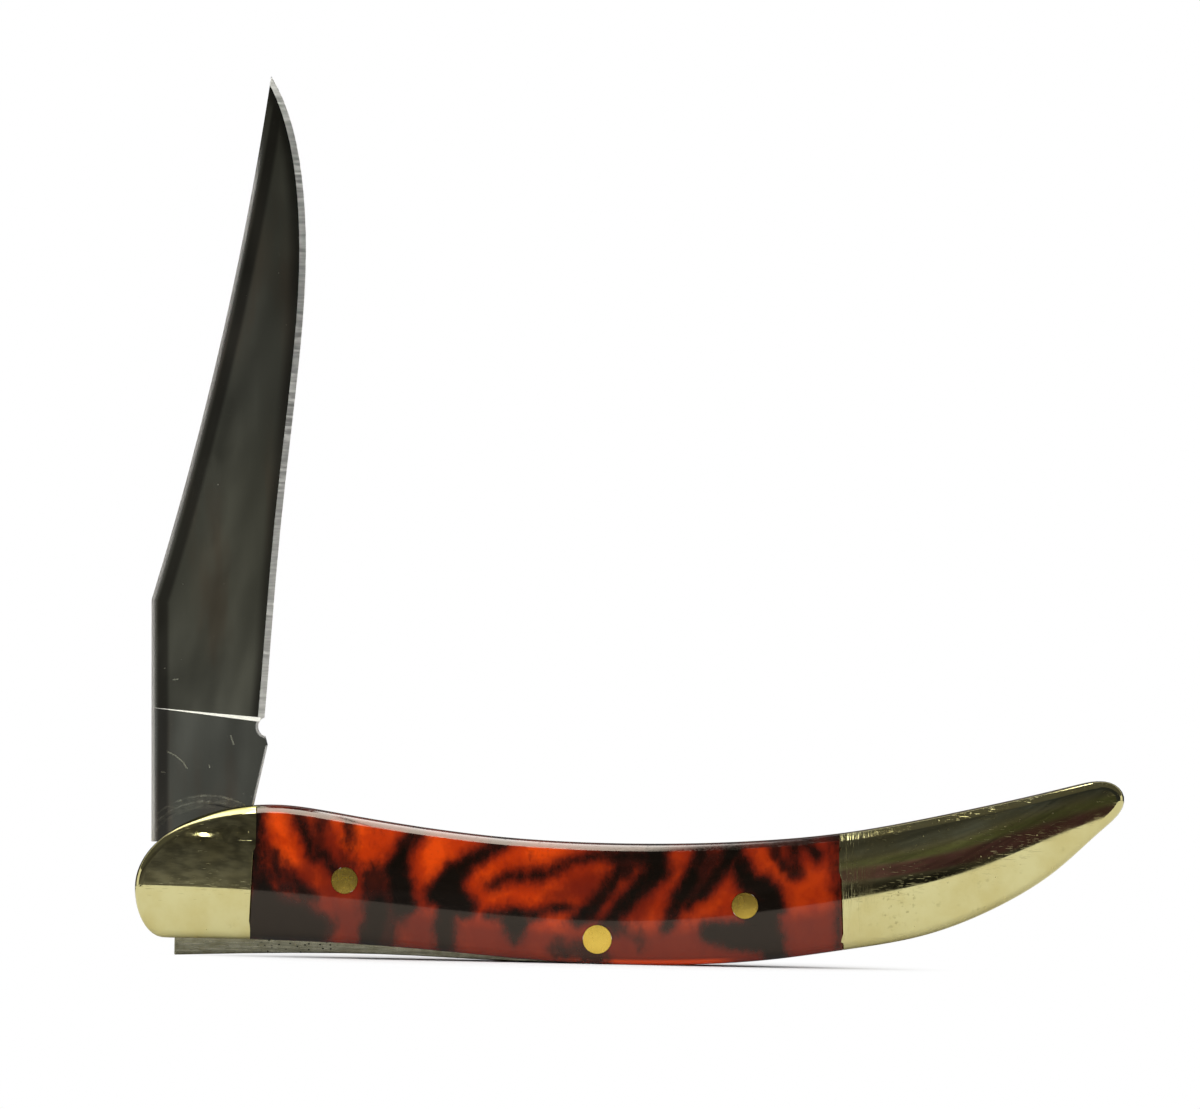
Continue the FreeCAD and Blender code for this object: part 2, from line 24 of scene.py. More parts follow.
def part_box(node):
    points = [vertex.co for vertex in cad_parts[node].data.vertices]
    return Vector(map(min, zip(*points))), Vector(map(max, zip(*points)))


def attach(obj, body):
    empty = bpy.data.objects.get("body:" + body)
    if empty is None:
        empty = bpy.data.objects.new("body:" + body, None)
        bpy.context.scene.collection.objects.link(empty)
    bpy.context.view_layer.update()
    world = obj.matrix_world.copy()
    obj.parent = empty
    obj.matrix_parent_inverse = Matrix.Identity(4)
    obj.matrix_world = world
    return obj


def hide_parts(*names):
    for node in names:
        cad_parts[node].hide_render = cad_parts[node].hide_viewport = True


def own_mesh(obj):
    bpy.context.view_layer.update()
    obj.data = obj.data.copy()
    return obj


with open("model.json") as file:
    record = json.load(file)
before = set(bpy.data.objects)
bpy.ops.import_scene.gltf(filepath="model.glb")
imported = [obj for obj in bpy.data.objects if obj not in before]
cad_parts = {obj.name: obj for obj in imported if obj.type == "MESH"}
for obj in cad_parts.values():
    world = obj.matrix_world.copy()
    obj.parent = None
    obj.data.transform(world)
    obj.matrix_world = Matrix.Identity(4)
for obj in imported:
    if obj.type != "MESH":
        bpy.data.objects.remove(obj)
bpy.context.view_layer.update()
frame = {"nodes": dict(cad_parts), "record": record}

MM = 0.001
# Edges sharper than this stay sharp where a piece is shaded smooth
SHARP = math.radians(35.0)
log = logging.getLogger("knife")

Pair = Tuple[float, float]
Point = Tuple[float, float, float]
Colour = Tuple[float, float, float]
Feed = Union[float, Colour, Point, NodeSocket, "Value"]
Feeds = Dict[Union[str, int], Feed]
Marks = Tuple[Tuple[Point, ...], ...]


class Side(Enum):
    """The two sides of the knife, with the sign of Y there."""

    LEFT = -1.0
    RIGHT = 1.0

    @property
    def label(self) -> str:
        """The word that starts the names of this side's pieces."""
        return self.name.lower()


def by_node(operation: str) -> Callable[..., "Value"]:
    """A method that extends a value with a Math node of one operation."""
    def extend(value: "Value", *others: Feed) -> "Value":
        """Add the node."""
        return value.graph.maths(operation, value, *others)
    return extend


class Value:
    """A number, vector or colour of a node tree, which arithmetic extends with nodes."""

    # Vector operations that give a number
    MEASURES = ("DISTANCE", "DOT_PRODUCT", "LENGTH")

    def __init__(self, graph: "Graph", socket: NodeSocket) -> None:
        """Keep the graph and the socket that the value comes from."""
        self.graph = graph
        self.socket = socket

    __add__ = by_node("ADD")
    __sub__ = by_node("SUBTRACT")
    __mul__ = by_node("MULTIPLY")
    __abs__ = by_node("ABSOLUTE")
    __lt__ = by_node("LESS_THAN")
    # The greater and the lesser of two values
    __or__ = by_node("MAXIMUM")
    __and__ = by_node("MINIMUM")

    def clamp(self) -> "Value":
        """The value, kept between 0 and 1."""
        return self.graph.maths("ADD", self, 0.0, clamp=True)

    def vector(self, operation: str, second: Feed = (0.0, 0.0, 0.0)) -> "Value":
        """Extend the value with a Vector Math node, whose scale is the second source where it scales."""
        sources = {0: self, "Scale" if operation == "SCALE" else 1: second}
        output = "Value" if operation in self.MEASURES else "Vector"
        return self.graph.value("VectorMath", output, sources, operation=operation)

    def ramp(self, low: float, high: float, bottom: float = 0.0, top: float = 1.0) -> "Value":
        """Map the value smoothly from one range to another, clamped at both ends.

        Args:
            low: Where the bottom is reached.
            high: Where the top is reached.
            bottom: The result at low.
            top: The result at high.

        Returns:
            The mapped value.
        """
        sources = {"Value": self, "From Min": low, "From Max": high, "To Min": bottom, "To Max": top}
        return self.graph.value("MapRange", "Result", sources, interpolation_type="SMOOTHSTEP")

    def fall(self, low: float, high: float, start: float = 1.0) -> "Value":
        """Map the value smoothly down to zero, from the start that it has below the low end."""
        return self.ramp(low, high, start, 0.0)

    def window(self, low: float, full: float, fade: float, high: float) -> "Value":
        """One where the value is from full to fade, and zero below low and above high."""
        return self.ramp(low, full) * self.fall(fade, high)

    def stretch(self, scale: Point, turn: Point = (0.0, 0.0, 0.0),
                shift: Point = (0.0, 0.0, 0.0)) -> "Value":
        """Scale, turn and move coordinates with a Mapping node."""
        sources = {"Vector": self, "Location": shift, "Rotation": turn, "Scale": scale}
        return self.graph.value("Mapping", "Vector", sources)

    def noise(self, scale: Union[float, Point], detail: float = 2.0, roughness: float = 0.5) -> "Value":
        """A noise texture at coordinates, which is stretched where its scale has three parts."""
        if isinstance(scale, tuple):
            return self.stretch(scale).noise(1.0, detail, roughness)
        sources = {"Vector": self, "Scale": scale, "Detail": detail, "Roughness": roughness}
        return self.graph.value("TexNoise", "Fac", sources)

    def parts(self) -> List["Value"]:
        """The three parts of a vector."""
        node = self.graph.add("SeparateXYZ", {0: self})
        return [Value(self.graph, socket) for socket in node.outputs]


class Graph:
    """Adds shader nodes to a node tree and links them."""

    def __init__(self, tree: NodeTree) -> None:
        """Keep the tree that the nodes go into."""
        self.tree = tree

    def add(self, kind: str, sources: Optional[Feeds] = None, **settings: object) -> Node:
        """Add a node.

        Args:
            kind: The last part of the node's type name.
            sources: What its inputs are fed with, by name or number.
            settings: Properties of the node, such as its operation.

        Returns:
            The new node.
        """
        node = self.tree.nodes.new(f"ShaderNode{kind}")
        for name, value in settings.items():
            setattr(node, name, value)
        self.feed(node, sources or {})
        return node

    def value(self, kind: str, output: Union[str, int], *sources: Feeds, **settings: object) -> Value:
        """Add a node as above, and give one of its outputs."""
        return Value(self, self.add(kind, *sources, **settings).outputs[output])

    def feed(self, node: Node, sources: Feeds) -> None:
        """Link a node's inputs to their sources, or set their values where the sources are plain."""
        for name, source in sources.items():
            socket = node.inputs[name]
            source = source.socket if isinstance(source, Value) else source
            if isinstance(source, NodeSocket):
                self.tree.links.new(source, socket)
            elif isinstance(source, tuple) and socket.type == "RGBA":
                socket.default_value = (*source, 1.0)
            else:
                socket.default_value = source

    def maths(self, operation: str, *sources: Feed, clamp: bool = False) -> Value:
        """Add a Math node with its values in their order, and keep its result from 0 to 1 if asked to."""
        return self.value("Math", 0, dict(enumerate(sources)), operation=operation, use_clamp=clamp)

    def mix(self, tone: Feed, *coats: Tuple[Feed, Feed]) -> Value:
        """Lay colours over one another.

        Args:
            tone: The lowest colour.
            coats: The colours over it, the lower ones first, each after the share of it that shows.

        Returns:
            The mixed colour.
        """
        for share, colour in coats:
            tone = self.value("Mix", "Result", {"Factor": share, "A": tone, "B": colour}, data_type="RGBA")
        return tone

    def group(self, tree: NodeTree, **sources: Feed) -> Value:
        """Place a node group, feed its inputs by name and give its mask."""
        return self.value("Group", "Mask", sources, node_tree=tree)

    def coordinates(self, kind: str) -> Value:
        """Texture coordinates of one kind."""
        return self.value("TexCoord", kind)

    def millimetres(self) -> Value:
        """Object coordinates in millimetres."""
        return self.coordinates("Object").vector("SCALE", 1 / MM)

    def bump(self, height: Feed, depth: float) -> Value:
        """A bumped normal from a height between 0 and 1 and the depth that it stands for."""
        return self.value("Bump", "Normal", {"Distance": depth, "Height": height})


def in_view(place: Sequence[float]) -> Point:
    """A point of the side view, from its two measures there."""
    return (place[0], 0.0, place[1])


def new_material(name: str) -> Tuple[Material, Graph, Node]:
    """Make a material, and give the graph of its nodes and its Principled BSDF too."""
    material = bpy.data.materials.new(name)
    material.use_nodes = True
    graph = Graph(material.node_tree)
    return material, graph, graph.tree.nodes["Principled BSDF"]


def glow_material(name: str) -> Tuple[Material, Graph, Node]:
    """Make a material that only glows, and give the graph of its nodes and its Emission node too."""
    material, graph, shader = new_material(name)
    graph.tree.nodes.remove(shader)
    glow = graph.add("Emission")
    graph.feed(graph.tree.nodes["Material Output"], {"Surface": glow.outputs[0]})
    return material, graph, glow


def new_group(name: str, inputs: Dict[str, str]) -> Tuple[Graph, Dict[str, Value], Node]:
    """Make a shader node group that gives a mask.

    Args:
        name: The group's name.
        inputs: The names of its inputs, with the socket type of each.

    Returns:
        The graph of its nodes, the values of its inputs and its output node.
    """
    tree = bpy.data.node_groups.new(name, "ShaderNodeTree")
    for label, kind in inputs.items():
        tree.interface.new_socket(label, in_out="INPUT", socket_type=f"NodeSocket{kind}")
    tree.interface.new_socket("Mask", in_out="OUTPUT", socket_type="NodeSocketFloat")
    graph = Graph(tree)
    source = tree.nodes.new("NodeGroupInput")
    given = {label: Value(graph, source.outputs[label]) for label in inputs}
    return graph, given, tree.nodes.new("NodeGroupOutput")


class Effects:
    """Node groups that more than one finish uses. Their places are in millimetres."""

    SCRATCH_TURNS = (0.25, -0.5, 0.95, 1.45, 2.2)
    SCRATCH_STRETCH = (0.8, 0.2, 34.0)
    SPECK_SCALE = 1.6

    def __init__(self) -> None:
        """Build every group once."""
        self.scratches = self.build_scratches()
        self.specks = self.build_specks()

    def build_scratches(self) -> NodeTree:
        """Thin straight scratches in a few directions of the side view."""
        graph, given, result = new_group("fine_scratches", {"Place": "Vector", "Count": "Float"})
        floor = graph.maths("SUBTRACT", 0.8, given["Count"])
        lines = []
        for number, turn in enumerate(self.SCRATCH_TURNS):
            shift = (7.3 * number, 0.0, 3.1 * number)
            drawn = given["Place"].stretch(self.SCRATCH_STRETCH, (0.0, turn, 0.0), shift)
            lines.append(((drawn.noise(1.0, 1.0) - floor) * 14.0).clamp())
        graph.feed(result, {"Mask": reduce(or_, lines)})
        return graph.tree

    def build_specks(self) -> NodeTree:
        """Small round specks, some of them left out."""
        graph, given, result = new_group("specks", {"Place": "Vector", "Size": "Float", "Share": "Float"})
        sources = {"Vector": given["Place"], "Scale": self.SPECK_SCALE}
        cells = graph.add("TexVoronoi", sources, feature="F1").outputs
        dot = ((given["Size"] - cells["Distance"]) * 12.0).clamp()
        chance = graph.value("SeparateColor", 0, {0: cells["Color"]})
        graph.feed(result, {"Mask": dot * (chance < given["Share"])})
        return graph.tree


@dataclass(frozen=True)
class PolishedSteel:
    """Mirror polish of the blade, with a worn spine edge, rub marks on the tang and a ground bevel; painted
    shade darkens a band along the spine and clip and the thin parts, and painted highlights make the spine
    edge, tang edge, choil and plunge pale.

    Its places are in millimetres from the pivot, across and along the blade.
    """

    name: str
    effects: Effects
    pivot: Pair
    lean: float = math.radians(1.2)
    spine: float = -4.3
    clip_start: float = 21.2
    clip_hollow: float = 0.78
    tip: Pair = (4.9, 61.7)
    smear: Pair = (-0.1, 28.9)
    smear_size: Pair = (1.9, 4.4)
    # Rings that the tang is rubbed to, the haze round them and one dark ring
    rub_radii: Pair = (5.62, 6.05)
    rub_haze: Tuple[float, ...] = (4.9, 5.2, 5.75, 6.3)
    rub_line: float = 5.36
    choil: Pair = (4.65, 11.375)
    choil_radius: float = 0.75
    tang_front: Tuple[Pair, Pair] = ((2.35, 0.0), (4.65, 9.9))
    # Scratches and nicks of the left face
    nicks: Tuple[Tuple[Pair, ...], ...] = (
        ((-3.08, 9.47), (-2.43, 9.14), (-1.88, 8.68), (-1.55, 8.17)), ((1.83, 10.67), (2.06, 10.02)),
        ((0.16, 8.4), (0.21, 8.25)), ((-3.5, 7.89), (-3.27, 7.84)), ((-2.62, 15.01), (-2.27, 15.06)),
        ((-3.3, 15.9), (-3.24, 15.93)))
    colour: Colour = (0.5, 0.51, 0.385)
    dull: Colour = (0.43, 0.44, 0.33)
    warm: Colour = (0.47, 0.4, 0.28)
    # Painted shade: the band along the spine and clip and the thin parts, dark as a dark reflection; also
    # the colour of a dark rub ring
    shade: Colour = (0.16, 0.155, 0.12)
    bevel_colour: Colour = (0.99, 0.98, 0.9)
    bevel_dull: Colour = (0.8, 0.79, 0.71)
    # Pale edges: the worn tang edge and choil, the spine edge and the plunge, partly wear and partly a
    # painted highlight
    edge_wear_and_highlight: Colour = (0.95, 0.93, 0.86)
    # Roughness of the worn edges of the tang, of the spine, of the plunge and of scratches
    edge_rough: float = 0.42
    spine_rough: float = 0.47
    plunge_rough: float = 0.4
    mark_rough: float = 0.34
    relief: float = 0.004 * MM

    def build(self) -> Material:
        """Build the material."""
        material, graph, shader = new_material(self.name)
        place = graph.millimetres()
        depth = place.parts()[1]
        flat = place.vector("SUBTRACT", in_view(self.pivot)).stretch((1.0, 0.0, 1.0), (0.0, self.lean, 0.0))
        gap = self.spine_gap(flat)
        edge = self.tang_edge(flat)
        # The surface leans one way on the sharpened bevel and another on the ramp at the grind's end
        ahead, aside, up = graph.coordinates("Normal").parts()
        bevel = ahead.window(0.17, 0.2, 0.5, 0.6)
        # The plunge ramp is painted pale and nearly non-metallic: a painted highlight
        plunge = up.ramp(0.6, 0.75) * abs(aside).ramp(0.15, 0.25)
        # Painted shade: the thin parts and a band along the spine and clip, dark as a dark reflection
        thin = abs(depth).fall(0.19, 0.26)
        band = gap.window(0.35, 0.6, 1.1, 1.5)
        # The spine edge: worn and rougher, and painted pale as a highlight of its rounded corner
        worn_spine_and_highlight = gap.fall(0.1, 0.5, 0.9) * flat.parts()[2].fall(self.tip[1] - 9.0, self.tip[1] - 2.0)
        cloud = place.noise((0.3, 0.12, 0.06), 4.0)
        grind = place.noise((0.5, 0.5, 5.0), 2.0, 0.6)
        warmth = place.noise((0.32, 0.1, 0.07), 3.0)
        scratches = graph.group(self.effects.scratches, Place=place, Count=0.035)
        specks = graph.group(self.effects.specks, Place=place, Size=0.1, Share=0.1)
        marks = scratches * 0.4 | specks | self.nick_mask(flat) * (depth < 0.0) | self.rub_marks(flat)
        tone = graph.mix(
            self.colour,
            (cloud.ramp(0.35, 0.65), self.dull),
            (warmth.ramp(0.46, 0.66, 0.0, 0.8), self.warm),
            ((band | thin) * 0.85, self.shade),
            (self.dark_ring(flat), self.shade),
            ((edge * 2.2).clamp() | worn_spine_and_highlight | plunge, self.edge_wear_and_highlight),
            (bevel, graph.mix(self.bevel_dull, (grind.ramp(0.36, 0.64), self.bevel_colour))))
        rough = marks * self.mark_rough + cloud.ramp(0.3, 0.7, 0.03, 0.06) + self.smear_mask(flat)
        rough = (rough | worn_spine_and_highlight * self.spine_rough | edge | plunge * self.plunge_rough
                 | bevel * grind.ramp(0.3, 0.7, 0.3, 0.5))
        height = bevel * grind + marks * 0.15
        graph.feed(shader, {"Metallic": plunge * -0.85 + 1.0, "Base Color": tone, "Roughness": rough,
                            "Normal": graph.bump(height, self.relief)})
        return material

    def spine_gap(self, flat: Value) -> Value:
        """How far each place of the blade is from its spine or the arc of its clip."""
        start = Vector((self.spine, self.clip_start))
        chord = Vector(self.tip) - start
        inward = Vector((chord.y, -chord.x)).normalized()
        radius = (chord.length_squared / 4 + self.clip_hollow ** 2) / (2 * self.clip_hollow)
        centre = start + chord / 2 + inward * (self.clip_hollow - radius)
        return (flat.vector("DISTANCE", in_view(centre)) - radius) & (flat.parts()[0] - self.spine)

    def tang_edge(self, flat: Value) -> Value:
        """Roughness of the worn front edge of the tang and of the choil, which also marks where a pale
        highlight is painted.
        """
        low, high = (Vector(place) for place in self.tang_front)
        run = (high - low).normalized()
        reach = flat.vector("SUBTRACT", in_view(low))
        gap = reach.vector("DOT_PRODUCT", (-run.y, 0.0, run.x))
        below = reach.vector("DOT_PRODUCT", in_view(run)) < (high - low).length
        away = flat.vector("DISTANCE", in_view(self.choil)) - self.choil_radius
        return gap.fall(0.05, 0.2, self.edge_rough) * below | away.fall(0.08, 0.24, self.edge_rough)

    def nick_mask(self, flat: Value) -> Value:
        """Single short scratches and nicks."""
        masks = []
        for start, end in (pair for line in self.nicks for pair in zip(line, line[1:])):
            run = Vector(in_view(end)) - Vector(in_view(start))
            reach = flat.vector("SUBTRACT", in_view(start))
            share = reach.vector("DOT_PRODUCT", tuple(run / run.length_squared)).clamp()
            sources = {0: tuple(run), "Scale": share}
            foot = flat.graph.value("VectorMath", "Vector", sources, operation="SCALE")
            masks.append(reach.vector("DISTANCE", foot).fall(0.02, 0.08))
        return reduce(or_, masks)

    def smear_mask(self, flat: Value) -> Value:
        """Roughness that a faint smear beside the clip adds."""
        near = flat.vector("SUBTRACT", in_view(self.smear))
        away = near.stretch(in_view([1 / size for size in self.smear_size])).vector("LENGTH")
        return away.fall(0.55, 1.0) * flat.noise((3.0, 1.0, 0.5), 3.0).ramp(0.3, 0.7, 0.05, 0.12)

    def ring(self, flat: Value, radius: float, soft: float) -> Value:
        """A thin ring round the pivot, which fades out over its soft half width."""
        return abs(flat.vector("LENGTH") - radius).fall(0.03, soft)

    def rub_marks(self, flat: Value) -> Value:
        """Soft rings round the pivot, where the tang rubs in the handle."""
        rings = reduce(or_, [self.ring(flat, radius, 0.16) for radius in self.rub_radii])
        haze = flat.vector("LENGTH").window(*self.rub_haze) * 0.55
        return (rings | haze) * flat.noise(0.9, 5.0, 0.65).ramp(0.34, 0.62, 0.1, 0.75)

    def dark_ring(self, flat: Value) -> Value:
        """A thin dark ring among the rub marks, broken in places."""
        return self.ring(flat, self.rub_line, 0.09) * flat.noise(0.5).ramp(0.4, 0.55, 0.0, 0.9)


@dataclass(frozen=True)
class GroundMetal:
    """Ground metal with fine lines, soft blotches and some dark specks."""

    name: str
    effects: Effects
    colour: Colour
    dull: Colour
    roughness: float
    speck_share: float = 0.0
    speck_size: float = 0.34
    speck_colour: Colour = (0.01, 0.01, 0.009)
    # Between which places along the handle the specks lie
    speck_span: Pair = (-29.0, -21.5)
    grain: Point = (0.5, 0.5, 7.0)
    # How far the lines spread the roughness, and how deep they are
    spread: float = 0.35
    relief: float = 0.004 * MM

    def build(self) -> Material:
        """Build the material."""
        material, graph, shader = new_material(self.name)
        place = graph.millimetres()
        lines = place.noise(self.grain)
        spotted = place.stretch((2.2, 2.2, 3.2))
        specks = graph.group(self.effects.specks, Place=spotted, Size=self.speck_size,
                             Share=self.speck_share)
        start, end = self.speck_span
        specks = specks * place.parts()[0].window(start, start + 1.0, end - 1.0, end)
        tone = graph.mix(self.colour, (place.noise(0.9, 4.0, 0.6).ramp(0.35, 0.7), self.dull),
                         (specks, self.speck_colour))
        ends = [self.roughness * (1 + spread) for spread in (-self.spread, self.spread)]
        graph.feed(shader, {"Metallic": 1.0, "Base Color": tone, "Roughness": lines.ramp(0.25, 0.75, *ends),
                            "Normal": graph.bump(lines, self.relief)})
        return material


@dataclass(frozen=True)
class PaleGold:
    """Polished pale gold metal with light scratches, specks and a few stains."""

    name: str
    effects: Effects
    wear: float
    # Where upright lines beside a joint start and end, and the middle of a stained patch
    brushed: Pair = (-90.0, -80.0)
    stained: Pair = (-90.0, 0.0)
    haze: Pair = (0.035, 0.09)
    colour: Colour = (0.64, 0.59, 0.29)
    dull: Colour = (0.58, 0.51, 0.22)
    stain: Colour = (0.3, 0.26, 0.1)
    mark_rough: float = 0.34
    relief: float = 0.0012 * MM

    def build(self) -> Material:
        """Build the material."""
        material, graph, shader = new_material(self.name)
        place = graph.millimetres()
        blotch = place.noise(0.35, 4.0, 0.55)
        patchy = place.noise(0.22).ramp(0.4, 0.62)
        scratches = graph.group(self.effects.scratches, Place=place, Count=0.05 + 0.035 * self.wear)
        specks = graph.group(self.effects.specks, Place=place, Size=0.13, Share=0.4 * self.wear)
        stains = place.noise(1.1, 5.0, 0.65).ramp(0.6, 0.72) * (0.35 * self.wear) | self.patch_mask(place)
        tone = graph.mix(self.colour, (blotch.ramp(0.3, 0.7), self.dull), (stains, self.stain))
        marks = scratches * (patchy * 0.7 + 0.3) | specks | self.brushed_mask(place)
        rough = marks * self.mark_rough + blotch.ramp(0.35, 0.7, *self.haze)
        graph.feed(shader, {"Metallic": 1.0, "Base Color": tone, "Roughness": rough,
                            "Normal": graph.bump(marks, self.relief)})
        return material

    def brushed_mask(self, place: Value) -> Value:
        """Fine upright lines that fade away from a joint."""
        lines = ((place.noise((24.0, 0.3, 0.45)) - 0.56) * 9.0).clamp()
        return lines * place.parts()[0].fall(*self.brushed, 0.8)

    def patch_mask(self, place: Value) -> Value:
        """Small dark spots round one place."""
        away = place.stretch((1.0, 0.0, 1.0)).vector("DISTANCE", in_view(self.stained))
        return place.noise(2.4, 4.0, 0.6).ramp(0.57, 0.68) * away.fall(0.8, 2.6, 0.7)


# Strokes of the tortoise pattern: places along and up the handle, then half widths, in millimetres
DARK_STROKES: Marks = (
    ((-29.0, 11.3, 0.55), (-28.9, 8.6, 0.45), (-28.8, 7.0, 0.4), (-28.2, 4.9, 0.9), (-28.8, 2.0, 0.9)),
    ((-28.0, 2.9, 1.9), (-25.8, 2.6, 1.5), (-24.4, 2.2, 1.0)),
    ((-25.6, 10.8, 0.2), (-25.2, 9.5, 0.25), (-24.8, 8.1, 0.25), (-24.5, 7.6, 0.15)),
    ((-24.5, 8.3, 0.12), (-23.7, 8.1, 0.15), (-22.8, 7.0, 0.18)),
    ((-26.3, 6.2, 0.15), (-25.3, 5.1, 0.2), (-24.4, 4.7, 0.25)),
    ((-16.6, 9.8, 0.3), (-17.5, 8.8, 0.4), (-18.0, 7.4, 0.6), (-17.6, 5.8, 0.75), (-17.4, 4.5, 0.9)),
    ((-9.5, 9.4, 0.35), (-11.1, 8.6, 0.4), (-12.4, 7.6, 0.45), (-13.3, 6.8, 0.7), (-13.9, 5.6, 1.2)),
    ((-14.7, 5.2, 0.8), (-12.8, 4.5, 1.0)),
    ((-10.5, 5.9, 0.05), (-9.5, 6.4, 0.1), (-7.3, 6.7, 0.17), (-5.2, 7.5, 0.14), (-3.7, 8.1, 0.14),
     (-2.2, 8.5, 0.22), (-0.7, 8.3, 0.3), (1.0, 8.2, 0.4)),
    ((-3.6, 4.2, 0.1), (-5.2, 4.3, 0.14), (-6.5, 4.1, 0.18), (-7.7, 3.6, 0.25), (-9.4, 3.7, 0.2),
     (-10.8, 3.6, 0.1)),
    ((-8.8, 3.2, 0.95), (-8.9, 1.9, 0.35)),
    ((-19.4, 4.2, 0.8), (-19.6, 1.5, 0.8)),
    ((-13.9, 3.6, 0.75), (-14.1, 1.1, 0.6)),
    ((1.9, 8.9, 0.7), (2.0, 7.2, 0.7), (0.9, 5.9, 0.55), (-0.6, 4.4, 0.55), (-1.8, 3.1, 0.4)),
    ((-0.4, 7.4, 0.25), (-1.6, 6.0, 0.4), (-2.8, 4.5, 0.55), (-3.7, 3.3, 0.45)),
    ((5.4, 8.9, 0.35), (4.8, 7.0, 0.55), (3.9, 5.1, 0.55), (3.1, 3.3, 0.3)),
    ((7.9, 8.9, 0.7), (7.4, 7.8, 0.5), (6.7, 6.7, 0.4), (5.5, 5.5, 0.3), (4.5, 4.5, 0.2)),
    ((8.5, 8.1, 0.5), (9.4, 6.3, 0.7), (10.8, 5.9, 0.8), (11.0, 4.8, 0.9)),
    ((10.0, 4.3, 1.2), (10.7, 2.6, 1.1), (11.4, 1.3, 0.8)),
    ((6.6, 2.5, 0.7), (10.1, 2.5, 1.1)),
    ((13.6, 9.9, 0.3), (14.6, 8.7, 0.2)),
    ((12.7, 9.6, 0.3), (12.8, 8.6, 0.22), (12.9, 7.5, 0.1)),
    ((16.0, 10.2, 0.3), (16.1, 7.0, 0.12), (16.4, 1.6, 0.1)),
)
SOFT_STROKES: Marks = (
    ((-24.2, 10.8, 0.35), (-24.0, 8.2, 0.3)),
    ((-21.7, 10.4, 0.25), (-21.6, 7.4, 0.25)),
    ((-19.4, 6.6, 0.9), (-19.3, 4.4, 1.2)),
    ((-28.0, 3.9, 1.4), (-25.2, 3.2, 1.3), (-23.9, 2.4, 1.0)),
    ((-26.8, 5.4, 0.3), (-25.0, 4.7, 0.5)),
    ((-27.6, 8.0, 0.3), (-27.3, 6.6, 0.5)),
    ((-18.2, 3.4, 0.7), (-18.3, 1.4, 0.7)),
    ((6.5, 8.3, 0.8), (5.3, 6.0, 0.6)),
    ((-0.2, 7.4, 0.5), (0.9, 7.6, 0.5)),
    ((-5.0, 1.0, 0.5), (-2.1, 0.4, 0.5)),
    ((-1.2, 3.1, 0.35), (1.0, 2.0, 0.3)),
    ((-1.4, 8.8, 0.35), (0.9, 9.0, 0.4)),
    ((11.4, 9.5, 0.45), (11.8, 8.4, 0.35), (12.9, 7.6, 0.3)),
)
WARM_STROKES: Marks = (
    ((-24.0, 11.0, 1.0), (-23.4, 8.4, 1.3), (-22.3, 6.0, 2.0), (-20.9, 3.4, 1.6), (-20.8, 1.6, 1.1)),
    ((-27.6, 7.6, 0.6), (-26.6, 5.8, 0.8), (-25.0, 6.2, 1.1)),
    ((-16.0, 5.2, 0.5), (-15.9, 1.4, 0.8)),
    ((-6.4, 5.2, 0.5), (-3.4, 6.0, 0.9), (-2.4, 6.9, 0.4)),
    ((0.4, 6.6, 0.6), (-2.0, 3.6, 0.5)),
    ((3.0, 7.8, 0.3), (0.6, 3.8, 0.4)),
    ((4.6, 5.4, 0.7), (6.4, 7.6, 0.8)),
    ((12.4, 8.6, 0.6), (14.8, 9.2, 0.5)),
)
# Names of the attributes that keep each vertex's gap to the strokes
STROKES: Dict[str, Marks] = {"dark_gap": DARK_STROKES, "soft_gap": SOFT_STROKES, "warm_gap": WARM_STROKES}


